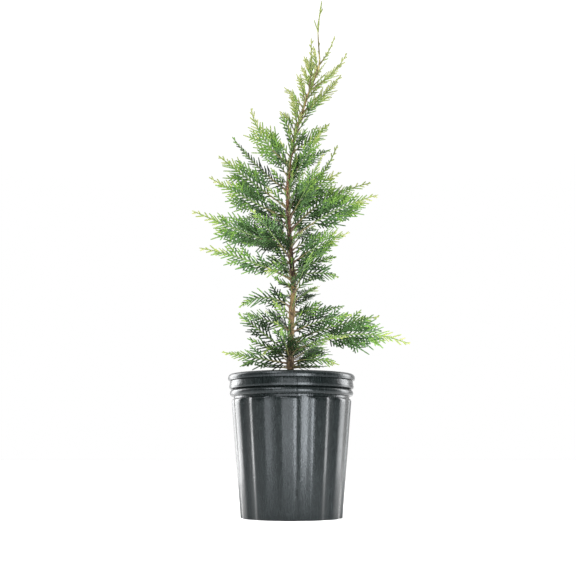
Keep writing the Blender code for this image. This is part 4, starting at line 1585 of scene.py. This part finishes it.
@dataclass
class Trunk:
    """The trunk with its bark's relief, the swellings at its limbs and its dry scales."""

    line: TrunkLine
    limbs: list[Limb]
    leaves: ScaleLeaves
    sides: int = 40
    spacing: float = 0.0011
    smooth: float = 50.0
    tip_share: float = 0.35
    girth: float = 0.004
    drawn_out: float = 0.22
    relief: float = 0.075
    fissures: float = 700.0
    flakes: float = 260.0
    swelling: float = 0.0010
    swelling_above: float = 0.001
    swelling_height: float = 0.0032
    swelling_width: float = 0.7
    swelling_reach: float = 0.008
    scale_count: int = 260
    first_scale: float = 0.006
    smooth_top: float = 0.13
    scale_length: Range = (0.0010, 0.0030)
    scale_lean: Range = (0.15, 0.75)
    scale_half_width: Range = (0.0003, 0.0007)
    scale_bark: TwigBark = TwigBark("dry_scales", (0.200, 0.120, 0.066), "bark")

    def offset(self, height: float, turn: float, radius: float) -> float:
        """How far the bark stands out at a place: fissures, flakes and swellings.

        Args:
            height: The place's height.
            turn: Its angle about the trunk, in radians.
            radius: The trunk's radius there.

        Returns:
            The offset in metres.
        """
        spot = Vector((math.cos(turn) * self.girth, math.sin(turn) * self.girth, height * self.drawn_out))
        fissures = -abs(wavy(spot, self.fissures, 3)) * 1.1 + 0.35
        flakes = wavy(spot + Vector((0.0, 0.0, 1.0)), self.flakes, 4) * 0.7
        total = self.relief * radius * (fissures + flakes)
        for limb in self.limbs:
            rise = height - limb.spray.height - self.swelling_above
            if abs(rise) < self.swelling_reach:
                away = math.atan2(*(limb.line[1] - limb.line[0]).yx) - turn
                away = (away + math.pi) % math.tau - math.pi
                fall = -(rise / self.swelling_height) ** 2 - (away / self.swelling_width) ** 2
                total += self.swelling * (radius / self.girth) * math.exp(fall)
        return total

    def make_bark(self) -> Piece:
        """Builds the trunk's bark as one piece."""
        low, high = self.line.low, self.line.high
        heights = np.append(np.arange(low, high - 0.0004, self.spacing), high).tolist()
        points = []
        for height in heights:
            middle = self.line.middle(height)
            ahead = (self.line.middle(height + 0.002) - self.line.middle(height - 0.002)).normalized()
            first = Vector((0.0, 1.0, 0.0)).cross(ahead).normalized()
            radius = self.line.radius(height) * (self.tip_share if height == high else 1.0)
            points += [middle + outward * (radius + self.offset(height, turn, radius))
                       for turn, outward in ring(first, ahead.cross(first), self.sides)]
        points = np.array(points)
        points[:self.sides, 2] = low
        shell = Shell(nodes={"trunk"})
        shell.add(points, ring_faces(len(heights), self.sides), end_faces(len(heights), self.sides))
        return shell.make("trunk_bark", TrunkBark(), self.smooth)

    def make_scales(self) -> Piece:
        """Builds the dry scales and stubs that young bark keeps."""
        low, high = self.line.low, self.line.high
        flakes = []
        for number in range(self.scale_count):
            height = low + self.first_scale + (high - low - self.smooth_top) * (number / self.scale_count)
            outward = pointing(draw(0.0, math.tau, "flake", number))
            length = draw(*self.scale_length, "flake length", number)
            lean = draw(*self.scale_lean, "flake lean", number)
            root = self.line.middle(height) + outward * (self.line.radius(height) * 0.92)
            path = (UP * math.cos(lean) + outward * math.sin(lean)) * length
            half_width = draw(*self.scale_half_width, "flake", number)
            flakes.append(Shoot(root, path, outward * 0.0002, UP.cross(outward), half_width, 0.0, "trunk"))
        shell = Shell(nodes={"trunk"})
        self.leaves.fill(shell, flakes)
        return shell.make("trunk_dry_scales", self.scale_bark)

    def make(self) -> list[Piece]:
        """Builds the bark and its dry scales."""
        return [self.make_bark(), self.make_scales()]


@dataclass(frozen=True)
class Roll:
    """A rounded part of the pot's profile, as part of an ellipse.

    Attributes:
        radius: The ellipse's middle, out from the pot's axis.
        height: Its middle's height.
        wide: Its half width.
        tall: Its half height.
        start: The first angle, in degrees.
        end: The last.
        count: How many rows there are.
    """

    radius: float
    height: float
    wide: float
    tall: float
    start: float
    end: float
    count: int

    def rows(self) -> list[Row]:
        """Its rows, each with its radius, its height and no depth of grooves."""
        return [(self.radius + self.wide * math.cos(turn), self.height + self.tall * math.sin(turn), 0.0)
                for turn in np.radians(np.linspace(self.start, self.end, self.count))]


@dataclass
class Pot:
    """The ribbed nursery pot, from its recessed underside over its rolled lip to its inner floor."""

    foot_radius: float = 0.0660
    shoulder_height: float = 0.1490
    shoulder_radius: float = 0.0784
    shoulder_rise: float = 0.0038
    wall: float = 0.0016
    smooth: float = 38.0
    rib_count: int = 12
    rib_start: float = 267.0
    rib_depth: float = 0.0026
    ridge_edge: float = 7.0
    groove_edge: float = 11.4
    edge_sharpness: float = 4.0
    rib_columns: tuple[float, ...] = (
        0.0, 3.6, 5.4, 6.2, 6.7, 7.2, 7.8, 8.6, 9.8, 10.6, 11.2, 11.7, 12.3, 13.2, 15.0)
    row_spacing: float = 0.003
    bead: Roll = Roll(0.0769, 0.1598, 0.0041, 0.0046, -86, 84, 13)
    over_bead: tuple[Row, ...] = ((0.0776, 0.1646, 0.0), (0.0779, 0.1650, 0.0), (0.0789, 0.1653, 0.0))
    collar_foot: Roll = Roll(0.0803, 0.1663, 0.0010, 0.0010, -80, 0, 4)
    collar: tuple[Row, ...] = (
        (0.0817, 0.1682, 0.0), (0.0816, 0.1690, 0.0), (0.0812, 0.1720, 0.0), (0.0808, 0.1752, 0.0),
        (0.0805, 0.1762, 0.0), (0.0802, 0.1767, 0.0), (0.0804, 0.1771, 0.0), (0.0820, 0.1768, 0.0),
        (0.0829, 0.1766, 0.0))
    lip: Roll = Roll(0.0792, 0.1794, 0.0043, 0.0051, -26, 190, 18)
    inner_collar: tuple[Row, ...] = ((0.0750, 0.1780, 0.0), (0.0745, 0.1720, 0.0), (0.0740, 0.1650, 0.0))
    inner_heights: tuple[float, ...] = (0.120, 0.080, 0.040, 0.010, 0.0030)
    floor_rings: tuple[float, ...] = (0.055, 0.048, 0.036, 0.020, 0.004)
    under_rings: tuple[float, ...] = (0.004, 0.020, 0.036, 0.048, 0.0560)
    under_height: float = 0.0008
    foot_ring: float = 0.0568
    seams: tuple[float, ...] = (275.0, 95.0)
    seam_columns: tuple[float, ...] = (-1.1, -0.8, -0.62, -0.32, -0.16, 0.0, 0.16, 0.32, 0.62, 0.8, 1.1)
    seam_height: float = 0.00035
    seam_top: float = 0.1770
    nick: float = 0.0007
    nick_height: float = 0.1608
    nick_spread: float = 0.0009
    slit_height: float = 0.0345
    slit_length: float = 0.0075
    slit_depth: float = 0.0009
    slit_half_width: float = 0.7
    slit_rows: Row = (0.0300, 0.0392, 0.0006)
    drain_count: int = 6
    drain_radius: float = 0.0050
    drain_ring: float = 0.042

    @property
    def neck_radius(self) -> float:
        """The radius of the smooth neck over the ribs, level with their grooves."""
        return self.shoulder_radius - self.rib_depth

    @property
    def pitch(self) -> float:
        """The angle from one rib to the next."""
        return FULL_TURN / self.rib_count

    @property
    def slope(self) -> float:
        """How much wider the ribbed wall gets for each metre of height."""
        return (self.shoulder_radius - self.foot_radius) / self.shoulder_height

    def angles(self) -> Array:
        """The columns' angles in degrees: dense at the ribs' edges and at the seams."""
        rib = self.rib_columns + tuple(self.pitch - angle for angle in self.rib_columns[1:-1])
        found = [self.rib_start + self.pitch * k + angle for k in range(self.rib_count) for angle in rib]
        for seam in self.seams:
            found = [angle for angle in found if abs(apart(angle, seam)) > self.seam_columns[-1]]
            found += [seam + step for step in self.seam_columns]
        return np.sort(np.array(found) % FULL_TURN)

    def groove(self, angles: Array) -> Array:
        """How deep each column lies in a groove.

        Args:
            angles: The columns' angles.

        Returns:
            The depths, from 0 on a ridge to 1.
        """
        offset = np.abs(apart(angles, self.rib_start, self.pitch))
        share = (offset - self.ridge_edge) / (self.groove_edge - self.ridge_edge)
        rise, fall = (np.logaddexp(0.0, (share - edge) * self.edge_sharpness) for edge in (0.0, 1.0))
        return (rise - fall) / self.edge_sharpness

    def outside(self) -> list[Row]:
        """The outer wall's rows, from the foot up: radius, height and depth of the grooves."""
        foot, ribs, neck = self.foot_radius, self.rib_depth, self.neck_radius
        rows = [(foot - 0.0012, 0.0, ribs), (foot - 0.0004, 0.0003, ribs), (foot, 0.0012, ribs)]
        evenly = np.arange(0.004, self.shoulder_height - 0.002, self.row_spacing)
        heights = sorted({*evenly.round(5).tolist(), *np.arange(*self.slit_rows).round(5).tolist()})
        rows += [(foot + self.slope * height, height, ribs) for height in heights]
        for turn in range(0, 91, 15):
            turn = math.radians(turn)
            swell = ribs * math.cos(turn)
            height = self.shoulder_height - 0.0004 + self.shoulder_rise * math.sin(turn)
            rows.append((neck + swell, height, swell))
        rows += [(neck, 0.1540, 0.0), (neck, 0.1549, 0.0), (neck + 0.0006, 0.1552, 0.0)]
        return [*rows, *self.bead.rows(), *self.over_bead, *self.collar_foot.rows(), *self.collar,
                *self.lip.rows()]

    def inside(self) -> list[Row]:
        """The inner wall's rows, from the lip down to the floor."""
        ribs, foot, inner = self.rib_depth, self.foot_radius - self.wall, self.neck_radius - self.wall
        rows = [*self.inner_collar, (inner + 0.0001, 0.1550, 0.0), (inner, 0.1530, 0.0)]
        rows += [(inner + 0.4 * ribs, 0.1510, 0.4 * ribs)]
        rows += [(foot + self.slope * height, height, ribs)
                 for height in (self.shoulder_height, *self.inner_heights)]
        return rows + [(foot - 0.0010, self.wall, ribs)]

    def relief(self, angles: Array, height: float) -> Array:
        """How far the seams stand out and the slits lie in on an outer row.

        Args:
            angles: The columns' angles.
            height: The row's height.

        Returns:
            The relief of each column.
        """
        offset = np.zeros(len(angles))
        for seam in self.seams:
            away = np.abs(apart(angles, seam))
            ridge = np.clip((0.55 - away) / 0.4, 0.0, 1.0) * self.seam_height
            if 0.003 < height < self.seam_top:
                nick = self.nick * math.exp(-((height - self.nick_height) / self.nick_spread) ** 2)
                offset += ridge * (1.0 + nick / self.seam_height) if height > 0.156 else ridge
            if abs(height - self.slit_height) < self.slit_length / 2:
                offset = np.where(away < self.slit_half_width, -self.slit_depth, offset)
        return offset

    def make(self) -> list[Piece]:
        """Builds the pot as one piece and cuts its drain holes."""
        angles = self.angles()
        turns, groove = np.radians(angles), self.groove(angles)
        outside, inside = self.outside(), self.inside()
        floor = [(radius, self.wall, 0.0) for radius in self.floor_rings]
        under = [(radius, self.under_height, 0.0) for radius in self.under_rings]
        under.append((self.foot_ring, 0.0, 0.0))
        rings = []
        for number, (radius, height, depth) in enumerate([*outside, *inside, *floor, *under]):
            reach = radius - depth * groove + (self.relief(angles, height) if number < len(outside) else 0.0)
            rings.append(np.stack([reach * np.cos(turns), reach * np.sin(turns),
                                   np.full(len(angles), height)], axis=1))
        count, columns = len(rings), len(angles)
        upper = len(outside) + len(inside) + len(floor)
        wall = ring_faces(count, columns)
        wall = np.delete(wall, np.s_[(upper - 1) * columns:upper * columns], axis=0)
        steps = np.arange(columns)
        following = (steps + 1) % columns
        last = columns * (count - 1)
        closing = np.stack([steps + last, following + last, following, steps], axis=1)
        caps = (steps + columns * (upper - 1))[None], (steps + columns * upper)[None, ::-1]
        shell = Shell(nodes={"pot"})
        shell.add(np.concatenate(rings), wall, closing, *caps)
        pot = shell.make("ribbed_pot", PotPlastic(), self.smooth)
        self.cut_drains(pot)
        return [pot]

    def cut_drains(self, pot: Piece) -> None:
        """Cuts the drain holes through the pot's floor.

        Args:
            pot: The pot.
        """
        mesh = bmesh.new()
        for k in range(self.drain_count):
            place = Matrix.Rotation(math.tau * k / self.drain_count, 4, "Z")
            place = place @ Matrix.Translation((self.drain_ring, 0.0, 0.0))
            bmesh.ops.create_cone(mesh, cap_ends=True, segments=40, radius1=self.drain_radius,
                                  radius2=self.drain_radius, depth=4 * self.wall, matrix=place)
        data = bpy.data.meshes.new("drain_cutter")
        mesh.to_mesh(data)
        mesh.free()
        cutter = bpy.data.objects.new("drain_cutter", data)
        cut = pot.modifiers.new("drain_holes", "BOOLEAN")
        cut.operation, cut.solver, cut.object = "DIFFERENCE", "MANIFOLD", cutter
        graph = bpy.context.evaluated_depsgraph_get()
        drilled = bpy.data.meshes.new_from_object(pot.evaluated_get(graph))
        pot.modifiers.clear()
        bpy.data.objects.remove(cutter)
        pot.data = drilled


@dataclass(frozen=True)
class Lumps:
    """One kind of rough lump that is strewn over the mix.

    Attributes:
        piece: The name of its piece.
        kind: Its own name, which its places follow.
        count: How many there are.
        size: The least and the greatest half width.
        flat: How tall they are for their width.
        long: How long they may be for their width.
        finish: What they are dressed in.
    """

    piece: str
    kind: str
    count: int
    size: Range
    flat: float
    long: float
    finish: CrumbFinish


MIX = CrumbFinish("potting_mix", (0.016, 0.009, 0.008), (0.070, 0.036, 0.032))
BARK_CHIPS = CrumbFinish("bark_chips", (0.050, 0.022, 0.017), (0.150, 0.074, 0.058), mottle=500.0)
WHITE_GRAINS = CrumbFinish("white_grains", (0.420, 0.400, 0.370), (0.760, 0.750, 0.720), mottle=1500.0)


@dataclass
class PottingMix:
    """The potting mix: its uneven top, with crumbs, bark chips and white grains on it."""

    edge_radius: float = 0.0738
    edge_height: float = 0.1665
    middle_height: float = 0.1697
    bottom: Range = (0.0602, 0.0020)
    neck: Range = (0.0728, 0.1480)
    rings: int = 76
    sides: int = 220
    smooth: float = 60.0
    mounds: float = 0.0010
    clods: float = 0.0006
    dents: Range = (0.72, 1.18)
    tilt: float = 0.5
    kinds: tuple[Lumps, ...] = (
        Lumps("mix_crumbs", "crumbs", 1500, (0.0006, 0.0019), 0.75, 1.4, MIX),
        Lumps("mix_bark_chips", "chips", 420, (0.0009, 0.0021), 0.42, 3.0, BARK_CHIPS),
        Lumps("mix_white_grains", "grains", 130, (0.0005, 0.0013), 0.85, 1.2, WHITE_GRAINS),
    )

    def height(self, x: float, y: float) -> float:
        """The height of the mix at a place.

        Args:
            x: The place to the right of the axis.
            y: The place behind it.

        Returns:
            The height.
        """
        share = math.hypot(x, y) / self.edge_radius
        base = self.middle_height + (self.edge_height - self.middle_height) * share * share
        place = Vector((x, y, 0.0))
        return base + self.mounds * wavy(place, 45.0, 3) + self.clods * wavy(place, 260.0, 3)

    def body(self) -> Shell:
        """The mix's bed: its rough top, and a cone down to the pot's floor."""
        turns = np.linspace(0.0, math.tau, self.sides, endpoint=False)
        points = [[radius * math.cos(turn), radius * math.sin(turn), height]
                  for radius, height in (self.bottom, self.neck) for turn in turns]
        for number in range(self.rings):
            radius = self.edge_radius * (1.0 - number / self.rings) ** 0.9
            for turn in turns:
                x, y = radius * math.cos(turn), radius * math.sin(turn)
                points.append([x, y, self.height(x, y)])
        count = self.rings + 2
        shell = Shell(nodes={"growing_medium"})
        shell.add(np.array(points), ring_faces(count, self.sides), end_faces(count, self.sides))
        return shell

    def strew(self, lumps: Lumps) -> Shell:
        """Strews one kind of lump over the mix.

        Args:
            lumps: The kind.

        Returns:
            The lumps.
        """
        ball = bmesh.new()
        bmesh.ops.create_icosphere(ball, subdivisions=1, radius=1.0)
        ball.verts.index_update()
        corners = np.array([vert.co for vert in ball.verts])
        faces = np.array([[vert.index for vert in face.verts] for face in ball.faces])
        ball.free()
        shell = Shell(nodes={"growing_medium"})
        for number in range(lumps.count):
            key = (lumps.kind, number)
            half = draw(*lumps.size, *key, "size")
            radius = (self.edge_radius - 0.001 - half) * math.sqrt(draw(0.004, 1.0, *key, "radius"))
            turn = draw(0.0, math.tau, *key, "turn")
            x, y = radius * math.cos(turn), radius * math.sin(turn)
            spin = Matrix.Rotation(draw(0.0, math.tau, *key, "spin"), 3, "Z")
            spin = spin @ Matrix.Rotation(draw(-self.tilt, self.tilt, *key, "tip"), 3, "X")
            stretch = np.array([half * draw(1.0, lumps.long, *key, "long"), half, half * lumps.flat])
            dents = np.array([draw(*self.dents, *key, corner) for corner in range(len(corners))])
            shape = (corners * dents[:, None] * stretch) @ np.array(spin).T
            shell.add(shape + np.array([x, y, self.height(x, y) + 0.35 * half * lumps.flat]), faces)
        return shell

    def make(self) -> list[Piece]:
        """Builds the mix, its crumbs, its bark chips and its white grains."""
        mix = self.body().make("potting_mix", MIX, self.smooth)
        return [mix, *(self.strew(kind).make(kind.piece, kind.finish) for kind in self.kinds)]


@dataclass(frozen=True)
class SoftLight:
    """One soft lamp of the studio: its place, what it faces, its width and height, and its power."""

    name: str
    place: tuple[float, float, float]
    aim: tuple[float, float, float]
    width: float
    height: float
    watts: float


@dataclass
class Studio:
    """The pale floor, the soft lamps and the camera at the photograph's viewing angle."""

    floor_radii: tuple[float, ...] = (12.0, 6.0, 3.0, 1.5, 0.7, 0.3)
    floor_sides: int = 96
    floor_smooth: float = 30.0
    sky: float = 1.0
    front_sky: float = 0.08
    sky_turns: Range = (-0.45, 0.10)
    zenith: float = 0.9
    zenith_rises: Range = (0.25, 0.90)
    camera_place: tuple[float, float, float] = (-0.0046, -1.32, 0.0801)
    camera_pitch: float = 9.48
    focal_length: float = 62.5
    lamps: tuple[SoftLight, ...] = (
        SoftLight("key_lamp", (-1.0, -1.4, 1.9), (0.0, 0.0, 0.30), 1.0, 1.0, 44.0),
        SoftLight("left_lamp", (-1.35, 0.80, 0.75), (0.0, 0.0, 0.30), 0.6, 1.2, 14.0),
        SoftLight("right_lamp", (1.35, 0.60, 0.75), (0.0, 0.0, 0.30), 0.6, 1.2, 12.0),
        SoftLight("left_edge_lamp", (-0.445, 0.324, 0.19), (0.0, 0.0, 0.10), 0.28, 0.38, 2.2),
        SoftLight("right_edge_lamp", (0.515, 0.190, 0.19), (0.0, 0.0, 0.10), 0.22, 0.38, 1.8),
        SoftLight("front_lamp", (-0.050, -0.40, 0.115), (0.0, 0.0, 0.10), 0.36, 0.22, 1.25),
        SoftLight("right_front_lamp", (0.140, -0.375, 0.115), (0.0, 0.0, 0.10), 0.14, 0.22, 1.8),
        SoftLight("band_lamp", (0.04, -0.95, 0.50), (0.0, 0.0, 0.17), 0.9, 0.16, 2.7),
    )

    def make_floor(self) -> None:
        """Lays the round floor, with rings that close in on its middle."""
        turns = np.linspace(0.0, math.tau, self.floor_sides, endpoint=False)
        points = [[radius * math.cos(turn), radius * math.sin(turn), 0.0]
                  for radius in self.floor_radii for turn in turns]
        middle = np.arange(len(points) - self.floor_sides, len(points))
        shell = Shell()
        shell.add(np.array(points), ring_faces(len(self.floor_radii), self.floor_sides), middle[None])
        shell.build("studio_floor", PaleFloor(), self.floor_smooth)

    def make_lamps(self) -> None:
        """Hangs the lamps, each turned to the plant."""
        for lamp in self.lamps:
            data = bpy.data.lights.new(lamp.name, "AREA")
            data.shape, data.size, data.size_y, data.energy = "RECTANGLE", lamp.width, lamp.height, lamp.watts
            light = bpy.data.objects.new(lamp.name, data)
            light.location = lamp.place
            light.rotation_euler = (Vector(lamp.aim) - Vector(lamp.place)).to_track_quat("-Z", "Y").to_euler()
            light.visible_camera = False
            bpy.context.scene.collection.objects.link(light)

    def make_sky(self) -> None:
        """Lights the sky: white behind the plant, brighter overhead and dim in front."""
        world = bpy.data.worlds.new("studio_sky")
        world.use_nodes = True
        tree = world.node_tree
        place = tree.nodes.new("ShaderNodeTexCoord").outputs["Generated"]
        axes = tree.nodes.new("ShaderNodeSeparateXYZ")
        tree.links.new(place, axes.inputs["Vector"])
        parts = []
        turned = ("Y", (*self.sky_turns, self.front_sky, self.sky))
        risen = ("Z", (*self.zenith_rises, 0.0, self.zenith))
        for axis, stops in (turned, risen):
            part = tree.nodes.new("ShaderNodeMapRange")
            part.interpolation_type = "SMOOTHSTEP"
            for name, value in zip(("From Min", "From Max", "To Min", "To Max"), stops):
                part.inputs[name].default_value = value
            tree.links.new(axes.outputs[axis], part.inputs["Value"])
            parts.append(part.outputs["Result"])
        total = tree.nodes.new("ShaderNodeMath")
        total.operation = "ADD"
        for part, socket in zip(parts, total.inputs):
            tree.links.new(part, socket)
        sky = tree.nodes["Background"]
        sky.inputs["Color"].default_value = (1.0, 1.0, 1.0, 1.0)
        tree.links.new(total.outputs["Value"], sky.inputs["Strength"])
        bpy.context.scene.world = world

    def make_camera(self) -> None:
        """Sets the camera a little above the pot's foot, looking slightly up."""
        data = bpy.data.cameras.new("camera")
        data.lens, data.sensor_width = self.focal_length, 36.0
        data.clip_end = 60.0
        camera = bpy.data.objects.new("camera", data)
        camera.location = self.camera_place
        camera.rotation_euler = (math.radians(90.0 + self.camera_pitch), 0.0, 0.0)
        bpy.context.scene.collection.objects.link(camera)
        bpy.context.scene.camera = camera

    def make(self) -> None:
        """Builds the studio."""
        self.make_floor()
        self.make_lamps()
        self.make_sky()
        self.make_camera()
        bpy.context.scene.view_settings.view_transform = "Standard"


def main() -> None:
    """Builds the studio, the pot and the plant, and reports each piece."""
    logging.basicConfig(level=logging.INFO, format="%(name)s: %(message)s")
    Studio().make()
    line, leaves = TrunkLine(), ScaleLeaves()
    limbs = settle_limbs(line)
    twigs = [Limb(twig, twig.heading, line, "trunk") for twig in TrunkTwigs().sprays()]
    parts = (Pot(), PottingMix(), Trunk(line, limbs, leaves), Stems([*limbs, *twigs]),
             Crown(line, [*limbs, *twigs], leaves))
    for part in parts:
        for piece in part.make():
            mesh = piece.data
            LOG.info("%s: %d triangles", piece.name, len(mesh.loops) - 2 * len(mesh.polygons))


if __name__ == "__main__":
    main()
